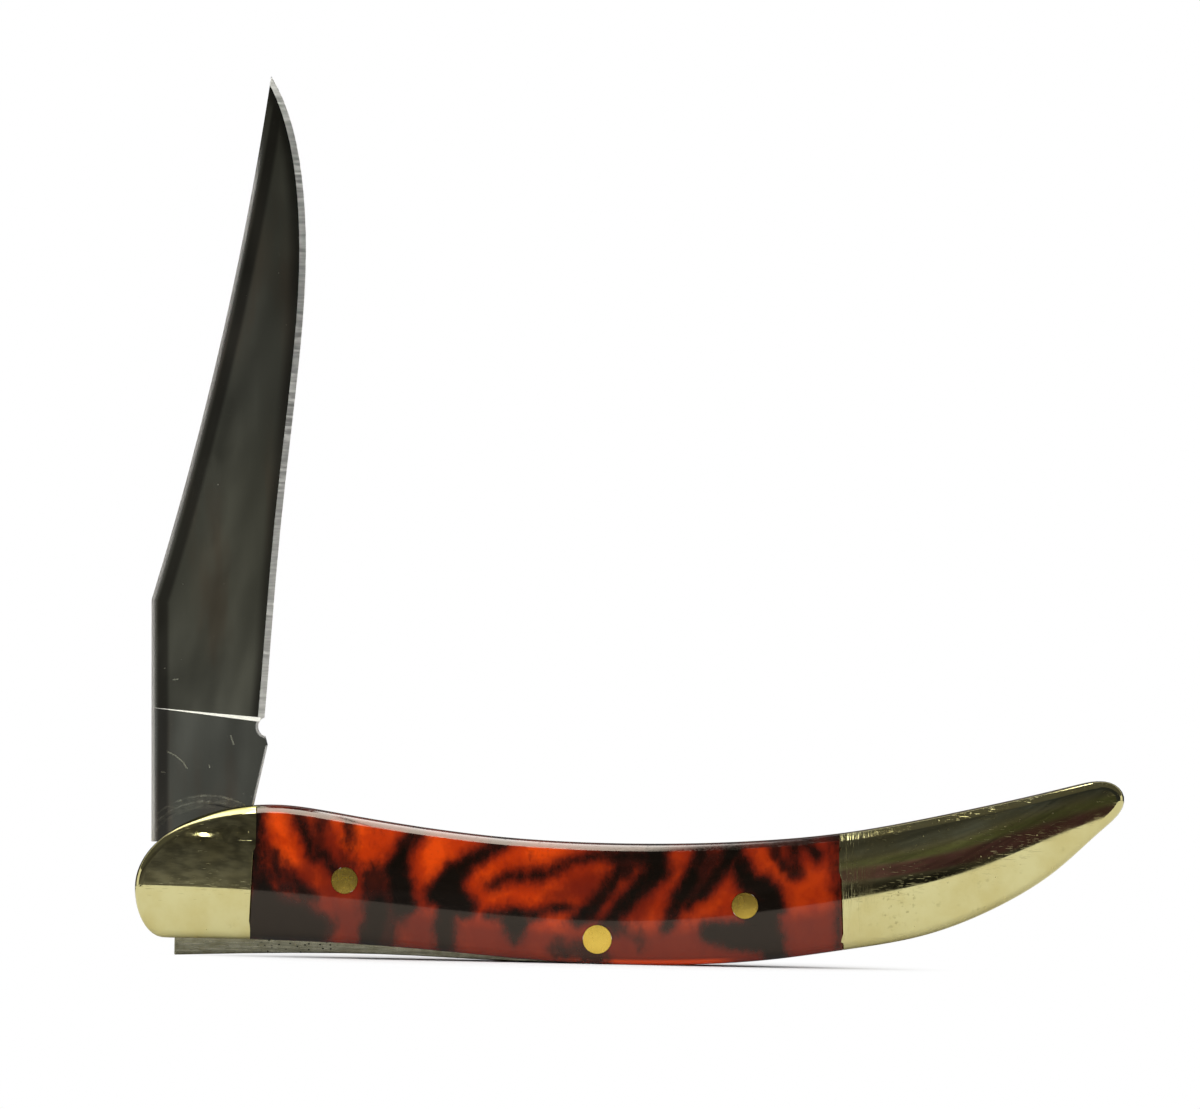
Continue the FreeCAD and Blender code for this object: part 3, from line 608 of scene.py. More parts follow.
@dataclass(frozen=True)
class Tortoise:
    """Glossy tortoise plastic: orange with dark red clouds and near black strokes, and painted light: shade
    where it faces down and up, and an amber glow along the bottom edge.
    """

    name: str
    effects: Effects
    orange: Colour = (0.45, 0.031, 0.0015)
    amber: Colour = (0.68, 0.058, 0.002)
    red: Colour = (0.13, 0.009, 0.003)
    brown: Colour = (0.02, 0.004, 0.0025)
    black: Colour = (0.004, 0.0025, 0.0015)
    gloss: Colour = (1.0, 0.84, 0.68)
    refraction: float = 1.49
    relief: float = 0.001 * MM

    def build(self) -> Material:
        """Build the material, which reads the gaps to the strokes from the piece."""
        material, graph, shader = new_material(self.name)
        place = graph.millimetres()
        leaning = place.stretch((1.0, 1.0, 0.6), (0.0, 0.5, 0.0))
        curl = leaning.noise(0.7, 5.0, 0.6)
        fine = place.noise(5.0, 3.0, 0.6)
        dark, soft, warm = (graph.value("Attribute", "Fac", attribute_name=name) for name in STROKES)
        dark = dark + leaning.noise(1.5, 4.0, 0.65).ramp(0.25, 0.75, -0.17, 0.17)
        dark = dark + fine.ramp(0.3, 0.7, -0.015, 0.015)
        soft = soft + curl.ramp(0.3, 0.7, -0.4, 0.4)
        warm = warm + curl.ramp(0.3, 0.7, -0.3, 0.3)
        along = place.parts()[0]
        up = graph.coordinates("Normal").parts()[2]
        tone = graph.mix(
            self.orange,
            (place.noise(0.3, 4.0, 0.6).ramp(0.42, 0.62), self.amber),
            (curl.ramp(0.54, 0.74, 0.0, 0.65), self.red),
            (fine.ramp(0.58, 0.78, 0.0, 0.25), self.brown),
            (along.ramp(-7.0, -3.0, 0.0, 0.5), self.red),
            # Painted shade: dark red where the faces point down, where less light falls
            (up.fall(-0.1, 0.0, 0.88), self.red),
            # Painted glow: a thin amber line along the bottom edge, as if light shone through
            (along.window(-7.0, -2.0, 6.0, 9.0) * up.fall(-0.75, -0.4), self.amber),
            (dark.fall(0.0, 1.3, 0.85), self.red),
            (warm.fall(-0.7, 0.6, 0.85), self.red),
            # Painted shade: brown where the faces point up, so the top rim is not lit bright
            (up.ramp(0.38, 0.58, 0.0, 0.85), self.brown),
            (soft.fall(-0.4, 0.8, 0.97), self.brown),
            (dark.fall(-0.15, 0.65, 0.9), self.brown),
            (dark.fall(-0.4, 0.25), self.black))
        scratches = graph.group(self.effects.scratches, Place=place, Count=0.05)
        rough = scratches * 0.15 + fine.ramp(0.3, 0.7, 0.04, 0.08)
        graph.feed(shader, {"Base Color": tone, "Roughness": rough, "IOR": self.refraction,
                            "Specular Tint": self.gloss, "Normal": graph.bump(scratches, self.relief)})
        return material


@dataclass(frozen=True)
class TortoisePattern:
    """Strokes of the tortoise plastic, as gaps that a scale's mesh keeps for its finish."""

    turn: float = 0.0
    shift: Pair = (0.0, 0.0)
    # Sizes of the wobble of the strokes and how far it moves them, in millimetres
    wobbles: Tuple[Pair, ...] = ((3.4, 0.4), (1.0, 0.14))
    # How far apart the noise is read for the wobble along the handle and up it
    apart: float = 31.7
    # How far from a stroke's middle line its gap is smoothed, in millimetres
    core: float = 0.24

    def paint(self, piece: Object) -> None:
        """Keep each vertex's gap to the dark, soft and warm strokes on the piece."""
        places = np.array([(vertex.co.x, vertex.co.z) for vertex in piece.data.vertices]) / MM
        lean = np.array(((math.cos(self.turn), math.sin(self.turn)),
                         (-math.sin(self.turn), math.cos(self.turn))))
        places = places @ lean + self.shift
        bent = places.copy()
        for size, far in self.wobbles:
            for row, (along, up) in enumerate(places / size):
                bent[row] += [far * noise.noise((along, size + shift, up)) for shift in (0.0, self.apart)]
        for name, marks in STROKES.items():
            layer = piece.data.attributes.new(name, "FLOAT", "POINT")
            layer.data.foreach_set("value", self.gaps(bent, marks))

    def gaps(self, places: np.ndarray, marks: Marks) -> np.ndarray:
        """How far each place is from the edge of the nearest stroke, less than zero inside it."""
        nearest = np.full(len(places), np.inf)
        for line in marks:
            for start, end in zip(np.array(line), np.array(line[1:])):
                run = end[:2] - start[:2]
                reach = places - start[:2]
                share = np.clip(reach @ run / (run @ run), 0.0, 1.0)
                aside = reach - share[:, None] * run
                gap = np.sqrt((aside * aside).sum(axis=1) + self.core ** 2) - 0.3 * self.core
                nearest = np.minimum(nearest, gap - start[2] - share * (end[2] - start[2]))
        return nearest


def dress(item: Object, material: Material) -> None:
    """Give a node of the solids, or a new piece, one material."""
    item.data.materials.clear()
    item.data.materials.append(material)


def middle_of(node: str) -> Vector:
    """The middle of a node's box."""
    low, high = (Vector(corner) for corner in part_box(node))
    return (low + high) / 2


def select_only(piece: Object) -> None:
    """Select one object, make it active and leave the rest unselected."""
    bpy.ops.object.select_all(action="DESELECT")
    piece.select_set(True)
    bpy.context.view_layer.objects.active = piece


def copy_shape(name: str, source: Object) -> Object:
    """Make a new piece from a copy of an object's mesh."""
    piece = bpy.data.objects.new(name, source.data.copy())
    bpy.context.scene.collection.objects.link(piece)
    return piece


@contextmanager
def editing(piece: Object) -> Iterator[None]:
    """Keep an object in edit mode, with all of it selected at the start."""
    select_only(piece)
    bpy.ops.object.mode_set(mode="EDIT")
    bpy.ops.mesh.select_all(action="SELECT")
    yield
    bpy.ops.object.mode_set(mode="OBJECT")


def cut_off(point: Point, normal: Point, beyond: bool) -> None:
    """Cut the shape in edit mode by a plane and close it there.

    Args:
        point: A point of the plane.
        normal: The plane's direction.
        beyond: Whether what lies in that direction goes, or else the rest.
    """
    bpy.ops.mesh.select_all(action="SELECT")
    bpy.ops.mesh.bisect(plane_co=point, plane_no=normal, use_fill=True,
                        clear_outer=beyond, clear_inner=not beyond)


def turn_outward() -> None:
    """Turn all faces of the shape in edit mode outward."""
    bpy.ops.mesh.select_all(action="SELECT")
    bpy.ops.mesh.normals_make_consistent(inside=False)


def select_edges(piece: Object, chosen: Callable[[Vector], bool]) -> None:
    """Select the edges whose corners are all chosen, in edit mode."""
    bpy.ops.mesh.select_all(action="DESELECT")
    shape = bmesh.from_edit_mesh(piece.data)
    for edge in shape.edges:
        edge.select = all(chosen(vertex.co) for vertex in edge.verts)
    bmesh.update_edit_mesh(piece.data)


class SmoothLine:
    """A natural cubic curve through stations."""

    def __init__(self, places: Sequence[float], heights: Sequence[float]) -> None:
        """Work out the bends at the stations."""
        self.places = np.array(places)
        self.heights = np.array(heights)
        gaps = np.diff(self.places)
        slopes = np.diff(self.heights) / gaps
        matrix = np.identity(len(self.places))
        jumps = np.zeros(len(self.places))
        for row in range(1, len(self.places) - 1):
            matrix[row, row - 1:row + 2] = gaps[row - 1], 2 * (gaps[row - 1] + gaps[row]), gaps[row]
            jumps[row] = 6 * (slopes[row] - slopes[row - 1])
        self.bends = np.linalg.solve(matrix, jumps)

    def at(self, place: np.ndarray) -> np.ndarray:
        """Height of the curve at each place."""
        row = np.clip(np.searchsorted(self.places, place) - 1, 0, len(self.places) - 2)
        gap = self.places[row + 1] - self.places[row]
        after = (place - self.places[row]) / gap
        before = 1 - after
        bend = (before ** 3 - before) * self.bends[row] + (after ** 3 - after) * self.bends[row + 1]
        return before * self.heights[row] + after * self.heights[row + 1] + bend * gap ** 2 / 6


class HandleOutline:
    """Side outline of the handle, as fine even points and their outward directions."""

    SPACING = 0.4 * MM
    WRAP = 4

    def __init__(self, liner: str) -> None:
        """Read the outline of a liner's flat face and smooth it."""
        loop = self.outer_loop(liner)
        wrapped = np.concatenate((loop[-self.WRAP:], loop, loop[:self.WRAP + 1]))
        steps = np.linalg.norm(np.diff(wrapped, axis=0), axis=1)
        along = np.concatenate(([0.0], np.cumsum(steps)))
        start, end = along[self.WRAP], along[self.WRAP + len(loop)]
        count = round((end - start) / self.SPACING)
        places = np.linspace(start, end, count, endpoint=False)
        self.points = np.stack([SmoothLine(along, wrapped[:, axis]).at(places) for axis in (0, 1)], axis=1)
        tangent = np.roll(self.points, -1, axis=0) - np.roll(self.points, 1, axis=0)
        tangent /= np.linalg.norm(tangent, axis=1)[:, None]
        self.outward = np.stack((tangent[:, 1], -tangent[:, 0]), axis=1)

    def outer_loop(self, liner: str) -> np.ndarray:
        """The outer edge of a liner's face at -Y, anticlockwise seen from there."""
        mesh = bmesh.new()
        mesh.from_mesh(frame["nodes"][liner].data)
        bmesh.ops.remove_doubles(mesh, verts=mesh.verts, dist=1e-7)
        flat = {face for face in mesh.faces if face.normal.y < -0.99}
        rim = {vertex: [] for vertex in mesh.verts}
        for edge in mesh.edges:
            if len(flat.intersection(edge.link_faces)) == 1:
                rim[edge.verts[0]].append(edge.verts[1])
                rim[edge.verts[1]].append(edge.verts[0])
        loop = [min((item for item in rim if rim[item]), key=lambda item: item.co.x)]
        while True:
            ahead = [item for item in rim[loop[-1]] if item not in loop]
            if not ahead:
                break
            loop.append(ahead[0])
        points = np.array([(item.co.x, item.co.z) for item in loop])
        mesh.free()
        turns = points[:, 0] * np.roll(points[:, 1], -1) - np.roll(points[:, 0], -1) * points[:, 1]
        return points if turns.sum() > 0 else points[::-1]

    def nearest(self, places: np.ndarray) -> Tuple[np.ndarray, np.ndarray]:
        """Find the nearest places of the outline.

        Args:
            places: Points along and up the handle.

        Returns:
            How far each point is from the outline, and the outward direction there.
        """
        run = np.roll(self.points, -1, axis=0) - self.points
        reach = places[:, None, :] - self.points[None, :, :]
        share = np.clip((reach * run).sum(axis=2) / (run * run).sum(axis=1), 0.0, 1.0)
        gaps = np.linalg.norm(reach - share[:, :, None] * run, axis=2)
        row = gaps.argmin(axis=1)
        each = np.arange(len(places))
        part = share[each, row][:, None]
        outward = (1 - part) * self.outward[row] + part * np.roll(self.outward, -1, axis=0)[row]
        return gaps[each, row], outward / np.linalg.norm(outward, axis=1)[:, None]


@dataclass(frozen=True)
class JointPlane:
    """A leaning plane where a bolster meets a scale."""

    place: float
    height: float
    lean: float

    @property
    def point(self) -> Point:
        """A point of the plane."""
        return (self.place, 0.0, self.height)

    @property
    def normal(self) -> Point:
        """The plane's direction towards the tail."""
        return (math.cos(self.lean), 0.0, -math.sin(self.lean))


@dataclass
class HandleCovers:
    """Bolsters and scales of both sides, ground over in one smooth crown."""

    effects: Effects
    edge_round: float = 0.65 * MM
    round_rows: int = 7
    grid: float = 0.5 * MM
    crown_radius: float = 16.33 * MM
    stand: float = 0.03 * MM
    front_joint: JointPlane = JointPlane(-29.0 * MM, 6.55 * MM, math.radians(2.0))
    rear_joint: JointPlane = JointPlane(16.3 * MM, 6.55 * MM, math.radians(-3.0))
    pin_gap: float = 0.03 * MM
    # Length of the tool that bores for a pin, and the number of its sides
    bore_depth: float = 20.0 * MM
    bore_sides: int = 64
    joint_break: float = 0.1 * MM
    # Edges shorter than this go
    least_edge: float = 0.002 * MM
    # Step of the crown's slope, and how near a face has to be to the crown to have its normals
    slope_step: float = 0.01 * MM
    crown_near: float = math.radians(20.0)
    # Places along the handle, thickness of the cover there and height of its thickest line
    stations: Tuple[Point, ...] = (
        (-40.4, 2.6, 5.82), (-28.96, 2.8, 5.51), (-16.76, 2.8, 4.45), (-6.1, 2.8, 3.59),
        (3.81, 2.8, 3.71), (10.67, 2.77, 4.58), (18.29, 2.69, 6.02), (26.67, 2.46, 8.42),
        (33.53, 2.13, 11.56), (40.39, 1.68, 14.27))
    scale_pins: Tuple[str, ...] = ("front_scale_pin", "rear_scale_pin")
    patterns: Dict[Side, TortoisePattern] = field(default_factory=lambda: {
        Side.LEFT: TortoisePattern(), Side.RIGHT: TortoisePattern(math.pi, (-12.6, 10.4))})

    def build(self) -> None:
        """Build and dress the covers of both sides."""
        self.outline = HandleOutline("left_liner")
        self.base = -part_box("left_liner")[0][1]
        table = np.array(self.stations) * MM
        self.thickness, self.middle = (SmoothLine(table[:, 0], table[:, part]) for part in (1, 2))
        gold_front = PaleGold("bolster_gold_front", self.effects, 0.5, haze=(0.02, 0.05)).build()
        gold_rear = PaleGold("bolster_gold_rear", self.effects, 1.0, (16.5, 20.5), (20.6, 5.0)).build()
        tortoise = Tortoise("scale_tortoise", self.effects).build()
        front, rear = self.front_joint, self.rear_joint
        for side in Side:
            slab = self.shape_slab(side)
            self.cut_piece(slab, side, "front_bolster", gold_front, [(front, True)])
            self.cut_piece(slab, side, "scale", tortoise, [(front, False), (rear, True)])
            self.cut_piece(slab, side, "rear_bolster", gold_rear, [(rear, False)])
            bpy.data.objects.remove(slab)

    def crown(self, places: np.ndarray) -> np.ndarray:
        """Half width of the crowned handle at points along and up it."""
        rise = places[:, 1] - self.middle.at(places[:, 0])
        apex = self.base + self.thickness.at(places[:, 0]) + self.stand
        return apex - self.crown_radius + np.sqrt(self.crown_radius ** 2 - rise ** 2)

    def rounding(self, places: np.ndarray) -> Tuple[np.ndarray, np.ndarray, np.ndarray]:
        """Work out the rounded edge.

        Args:
            places: Points along and up the handle.

        Returns:
            How far each point is out from the middle of the round, how high the round is there, and
            the outward direction.
        """
        gaps, outward = self.outline.nearest(places)
        short = self.edge_round - np.minimum(gaps, self.edge_round)
        return short, np.sqrt(self.edge_round ** 2 - short ** 2), outward

    def shape_slab(self, side: Side) -> Object:
        """Shape one side's covers in one piece: outline, rounded edge and crown."""
        points = self.outline.points
        bpy.ops.object.select_all(action="DESELECT")
        bpy.ops.mesh.primitive_circle_add(vertices=len(points), fill_type="NGON")
        slab = bpy.context.object
        for vertex, (along, up) in zip(slab.data.vertices, points):
            vertex.co = (along, side.value * self.base, up)
        with editing(slab):
            lift = (0.0, side.value * self.edge_round, 0.0)
            bpy.ops.mesh.extrude_region_move(TRANSFORM_OT_translate={"value": lift})
            for row in range(self.round_rows):
                near, far = (1 - math.cos(math.pi / 2 * (row + step) / self.round_rows) for step in (0, 1))
                bpy.ops.mesh.inset(thickness=self.edge_round * (far - near), depth=0.0)
            bpy.ops.mesh.hide(unselected=True)
            self.slice_face(points)
            bpy.ops.mesh.select_all(action="SELECT")
            bpy.ops.mesh.subdivide(number_cuts=1)
            bpy.ops.mesh.reveal()
        self.raise_crown(slab, side)
        return slab

    def slice_face(self, points: np.ndarray) -> None:
        """Divide the face that shows by an even grid, which leaves out the joints."""
        joints = (self.front_joint.place, self.rear_joint.place)
        for axis, direction in ((0, (1.0, 0.0, 0.0)), (1, (0.0, 0.0, 1.0))):
            for place in np.arange(points[:, axis].min(), points[:, axis].max(), self.grid):
                if axis == 0 and min(abs(place - joint) for joint in joints) < self.grid:
                    continue
                bpy.ops.mesh.select_all(action="SELECT")
                bpy.ops.mesh.bisect(plane_co=[part * place for part in direction], plane_no=direction)

    def raise_crown(self, slab: Object, side: Side) -> None:
        """Move the outer face of a slab out to the rounded crown."""
        raised = [vertex for vertex in slab.data.vertices
                  if abs(vertex.co.y) > self.base + self.edge_round / 2]
        places = np.array([(vertex.co.x, vertex.co.z) for vertex in raised])
        heights = self.crown(places) - self.edge_round + self.rounding(places)[1]
        for vertex, height in zip(raised, heights):
            vertex.co.y = side.value * height

    def cut_piece(self, slab: Object, side: Side, label: str, material: Material,
                  cuts: List[Tuple[JointPlane, bool]]) -> None:
        """Cut one cover from a slab, bore it for its pins and dress it.

        Args:
            slab: The covers of one side in one piece.
            side: That side.
            label: The cover's name, without its side.
            material: Its finish.
            cuts: The joint planes, each with whether what is tailward of it goes.
        """
        node = f"{side.label}_{label}"
        piece = copy_shape(f"{node}_skin", slab)
        with editing(piece):
            for plane, tailward in cuts:
                cut_off(plane.point, plane.normal, tailward)
            if label != "scale":
                self.break_joint_edge(piece, cuts[0][0])
            turn_outward()
        if label == "scale":
            self.bore(piece, side)
        self.divide_faces(piece)
        if label == "scale":
            self.patterns[side].paint(piece)
        bpy.ops.object.shade_smooth_by_angle(angle=SHARP)
        self.set_normals(piece, side)
        dress(piece, material)
        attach(piece, "handle")
        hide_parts(node)
        log.info("built %s", piece.name)

    def divide_faces(self, piece: Object) -> None:
        """Take out faces with no area and divide the rest into even triangles."""
        with editing(piece):
            bpy.ops.mesh.dissolve_degenerate(threshold=self.least_edge)
            bpy.ops.mesh.select_all(action="SELECT")
            bpy.ops.mesh.quads_convert_to_tris(quad_method="BEAUTY", ngon_method="BEAUTY")

    def break_joint_edge(self, piece: Object, plane: JointPlane) -> None:
        """Bevel the outer edge of a bolster's joint face, in edit mode."""
        point, normal = Vector(plane.point), Vector(plane.normal)
        select_edges(piece, lambda corner: abs((corner - point).dot(normal)) < 0.1 * self.joint_break
                     and abs(corner.y) > self.base + self.edge_round)
        bpy.ops.mesh.bevel(offset=self.joint_break, segments=1, affect="EDGES")

    def bore(self, piece: Object, side: Side) -> None:
        """Bore a scale for its pins."""
        for pin in [f"{side.label}_{pin}" for pin in self.scale_pins] + ["spring_pin"]:
            low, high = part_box(pin)
            middle = middle_of(pin)
            bpy.ops.object.select_all(action="DESELECT")
            radius = (high[0] - low[0]) / 2 + self.pin_gap
            bpy.ops.mesh.primitive_cylinder_add(
                vertices=self.bore_sides, radius=radius, depth=self.bore_depth,
                location=(middle.x, 0.0, middle.z), rotation=(math.pi / 2, 0.0, 0.0))
            tool = bpy.context.object
            select_only(piece)
            cut = piece.modifiers.new("bore", "BOOLEAN")
            cut.operation = "DIFFERENCE"
            cut.object = tool
            cut.use_hole_tolerant = True
            bpy.ops.object.modifier_apply(modifier=cut.name)
            bpy.data.objects.remove(tool)

    def set_normals(self, piece: Object, side: Side) -> None:
        """Give the rounded crown its exact normals, so that it reflects smoothly."""
        mesh = piece.data
        places = np.array([(vertex.co.x, vertex.co.z) for vertex in mesh.vertices])
        short, level, outward = self.rounding(places)
        along, up = ((self.crown(places + step) - self.crown(places - step)) / (2 * self.slope_step)
                     for step in np.identity(2) * self.slope_step)
        exact = np.stack((short * outward[:, 0] - level * along, side.value * level,
                          short * outward[:, 1] - level * up), axis=1)
        exact /= np.linalg.norm(exact, axis=1)[:, None]
        normals = []
        for face in mesh.polygons:
            flat = np.array(face.normal)
            for corner in face.vertices:
                near = flat @ exact[corner] > math.cos(self.crown_near)
                normals.append(tuple(exact[corner]) if near else (0.0, 0.0, 0.0))
        mesh.normals_split_custom_set(normals)


@dataclass
class BackSpring:
    """Back spring: an arm ahead of its pin and the root behind it."""

    finish: Material
    pin: str = "spring_pin"
    # How far ahead of the pin the arm starts, which way it would bend and how far
    lead: float = 1.8 * MM
    lean: float = math.radians(20.0)
    keep: float = 0.893
    edge_break: float = 0.06 * MM
    # Points nearer than this are joined, flatter edges go, and edges sharper than the last are broken
    joined: float = 0.001 * MM
    flat: float = math.radians(0.1)
    sharp: float = math.radians(60.0)

    def build(self) -> None:
        """Build both pieces."""
        pin = middle_of(self.pin)
        self.cut_piece("back_spring_root", pin, False)
        arm = self.cut_piece("back_spring_arm", pin, True)
        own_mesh(arm)

    def cut_piece(self, name: str, pin: Vector, ahead: bool) -> Object:
        """Cut one piece from a copy of the spring.

        Args:
            name: The piece's name.
            pin: The middle of the pin that holds the spring.
            ahead: Whether the piece is the one ahead of the pin.

        Returns:
            The dressed piece.
        """
        piece = copy_shape(name, frame["nodes"]["back_spring"])
        with editing(piece):
            bpy.ops.mesh.remove_doubles(threshold=self.joined)
            bpy.ops.mesh.dissolve_limited(angle_limit=self.flat)
            cut_off((pin.x - self.lead, 0.0, pin.z), (1.0, 0.0, 0.0), ahead)
            turn_outward()
        bevel = piece.modifiers.new("broken_edges", "BEVEL")
        bevel.width = self.edge_break
        bevel.segments = 1
        bevel.angle_limit = self.sharp
        bpy.ops.object.modifier_apply(modifier=bevel.name)
        bpy.ops.object.shade_smooth_by_angle(angle=SHARP)
        dress(piece, self.finish)
        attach(piece, "handle")
        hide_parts("back_spring")
        log.info("built %s", piece.name)
        return piece


@dataclass
class Studio:
    """Floor, dark flags, lamps and the camera of the picture."""

    distance: float = 0.9
    camera_height: float = 16.0 * MM
    roll: float = math.radians(1.2)
    picture_width: float = 1200 / 12.95 * MM
    centre: Pair = (-2.77 * MM, 31.6 * MM)
    plane: float = -3.0 * MM
    flag_height: float = 200.0 * MM
    back_height: float = 150.0 * MM
    # Feet of a flag: distances from the middle of the knife at its front and its tail
    flag_feet: Pair = (50.0 * MM, 170.0 * MM)
    flag_reach: float = 150.0 * MM
    flag_wing: float = 400.0 * MM
    flag_lift: float = 0.1 * MM
    # Middles and sizes of two cloths that hang lower, before and behind the middle of the scales
    low_place: Point = (-22.0 * MM, -56.0 * MM, 130.0 * MM)
    low_size: Pair = (28.5 * MM, 148.0 * MM)
    tail_place: Point = (24.0 * MM, -56.0 * MM, 130.0 * MM)
    tail_size: Pair = (41.0 * MM, 228.0 * MM)
    glint_place: Point = (-41.5 * MM, -160.0 * MM, 84.0 * MM)
    glint_size: Pair = (0.8 * MM, 6.0 * MM)
    # How bright the overhead cloths and the glint show in reflections, where white is 1
    glare: float = 2.6
    scale_glare: float = 10.0
    glint_glare: float = 30.0
    gloom: float = 0.1
    # Tints of the dark cloth: two that mingle, and those of its bands from the top down
    cloth_cool: Colour = (1.0, 1.0, 1.12)
    cloth_warm: Colour = (1.0, 0.97, 0.95)
    band_blue: Colour = (0.86, 0.96, 1.25)
    band_olive: Colour = (0.9, 1.0, 0.65)
    band_red: Colour = (0.85, 0.42, 0.6)
    # Strength of the surroundings as a light, and the floor's size and finish
    daylight: float = 0.3
    floor_size: float = 4.0
    floor_white: Colour = (0.86, 0.86, 0.86)
    floor_rough: float = 0.7
    # Name, place, size and power of each lamp, and what they point at
    lamps: Tuple[Tuple[str, Point, Pair, float], ...] = (
        ("overhead", (-0.05, -0.08, 0.5), (1.2, 1.0), 4.8), ("fill", (0.1, -0.7, 0.35), (0.6, 0.4), 1.5))
    lamp_target: Point = (0.0, 0.0, 15.0 * MM)

    def build(self) -> None:
        """Build the whole studio."""
        self.build_world()
        self.build_floor()
        self.build_flags()
        self.build_lamps()
        self.build_camera()

    def build_world(self) -> None:
        """White surroundings for the camera and for reflections, dimmer as a light."""
        world = bpy.data.worlds.new("studio")
        bpy.context.scene.world = world
        world.use_nodes = True
        graph = Graph(world.node_tree)
        rays = [graph.value("LightPath", f"Is {kind} Ray") for kind in ("Camera", "Glossy", "Transmission")]
        strength = reduce(or_, rays).ramp(0.0, 1.0, self.daylight, 1.0)
        graph.feed(graph.tree.nodes["Background"], {"Strength": strength, "Color": (1.0, 1.0, 1.0)})

    def build_floor(self) -> None:
        """A plain white floor, which stays white far from the knife."""
        bpy.ops.mesh.primitive_plane_add(size=self.floor_size)
        floor = bpy.context.object
        floor.name = "floor"
        material, graph, shader = new_material("floor_white")
        graph.feed(shader, {"Base Color": self.floor_white, "Roughness": self.floor_rough,
                            "Specular IOR Level": 0.0})
        beside = graph.coordinates("Object").stretch((1.15, 1.0, 1.0), shift=(0.006, 0.0, 0.0))
        far = beside.vector("LENGTH").ramp(0.014, 0.036) * graph.value("LightPath", "Is Camera Ray")
        glow = graph.add("Emission")
        blend = graph.add("MixShader", {0: far, 1: shader.outputs[0], 2: glow.outputs[0]})
        graph.feed(graph.tree.nodes["Material Output"], {"Surface": blend.outputs[0]})
        dress(floor, material)

    def build_flags(self) -> None:
        """Dark cloths on both sides, cloths overhead and a glint, which only reflections show."""
        dark = self.dark_cloth()
        low = self.low_cloth()
        glint, graph, glow = glow_material("glint_white")
        graph.feed(glow, {"Strength": self.glint_glare})
        over_place = (0.0, 0.0, self.flag_height)
        over_size = (2 * (self.flag_reach + self.flag_wing), 2 * self.flag_feet[1])
        screens = [(self.build_flag(side), dark) for side in Side]
        for name, place, size, tilt, material in (
                ("flag_over", over_place, over_size, 0.0, self.pale_cloth()),
                ("flag_low", self.low_place, self.low_size, 0.0, low),
                ("flag_tail", self.tail_place, self.tail_size, 0.0, low),
                ("glint", self.glint_place, self.glint_size, math.pi / 2, glint)):
            screens.append((self.build_screen(name, place, size, tilt), material))
        for screen, material in screens:
            dress(screen, material)
            screen.visible_camera = False
            screen.visible_diffuse = False
            screen.visible_shadow = False

    def dark_cloth(self) -> Material:
        """Dark mottled cloth, lighter low down, with coloured bands towards the tail."""
        material, graph, glow = glow_material("flag_dark")
        place = graph.coordinates("Object")
        along, across, height = place.parts()
        tailward = along.ramp(-0.005, 0.03)
        front = height.ramp(0.0, 0.03, 0.165, 0.102) - height.ramp(0.025, 0.085, 0.0, 0.048)
        front = front + height.ramp(0.09, 0.15, 0.0, 0.02)
        # Bands that come lower towards the tail
        band = along * 0.7 + (height - 0.012)
        rear = band.ramp(0.02, 0.032, 0.025, 0.12) - band.ramp(0.056, 0.085, 0.0, 0.06)
        rear = rear * along.ramp(0.015, 0.04, 1.2, 0.6)
        # The strip on the floor is darker near the knife
        level = graph.mix(front, (tailward, rear)) * abs(across).ramp(0.07, 0.1, 0.4, 1.0)
        level = level * place.noise((420.0, 1.0, 70.0), 5.0, 0.65).ramp(0.36, 0.64, 0.62, 1.38)
        tint = graph.mix(
            self.cloth_cool,
            (place.noise(14.0, 3.0).ramp(0.35, 0.65), self.cloth_warm),
            (band.ramp(0.06, 0.075) * tailward, self.band_blue),
            (band.window(0.044, 0.052, 0.056, 0.066) * tailward, self.band_olive),
            (band.window(0.026, 0.032, 0.044, 0.052) * tailward, self.band_red))
        graph.feed(glow, {"Color": tint, "Strength": level})
        return material

    def pale_cloth(self) -> Material:
        """Overhead cloth: bright beyond the front end of the knife and over the scales, dark elsewhere."""
        material, graph, glow = glow_material("flag_pale")
        along, across, _ = graph.coordinates("Object").parts()
        front = along.fall(-0.036, -0.034) * (along * 2.0 + across).ramp(-0.255, -0.21) * self.glare
        middle = along.window(-0.0055, -0.0025, 0.012, 0.016) * self.scale_glare
        level = (front + middle) * across.window(-0.165, -0.14, 0.11, 0.14) + self.gloom
        graph.feed(glow, {"Strength": level})
        return material

    def low_cloth(self) -> Material:
        """Cloth that is bright over the front joint and dark towards the tail and the camera."""
        material, graph, glow = glow_material("flag_low_pale")
        along, across, _ = graph.coordinates("Object").parts()
        bright = along.fall(-0.0095, -0.008) * across.ramp(-0.13, -0.1)
        graph.feed(glow, {"Strength": bright.ramp(0.0, 1.0, self.gloom, self.scale_glare)})
        return material

    def build_screen(self, name: str, place: Point, size: Pair, tilt: float) -> Object:
        """Add a flat rectangle.

        Args:
            name: Its name.
            place: Its middle.
            size: Its width along the handle and its other side.
            tilt: How far it is turned up from level.

        Returns:
            The rectangle, with its place in its mesh.
        """
        bpy.ops.object.select_all(action="DESELECT")
        bpy.ops.mesh.primitive_plane_add(size=1.0, location=place, rotation=(tilt, 0.0, 0.0))
        screen = bpy.context.object
        screen.name = name
        screen.scale = (*size, 1.0)
        bpy.ops.object.transform_apply(location=True, rotation=True, scale=True)
        return screen

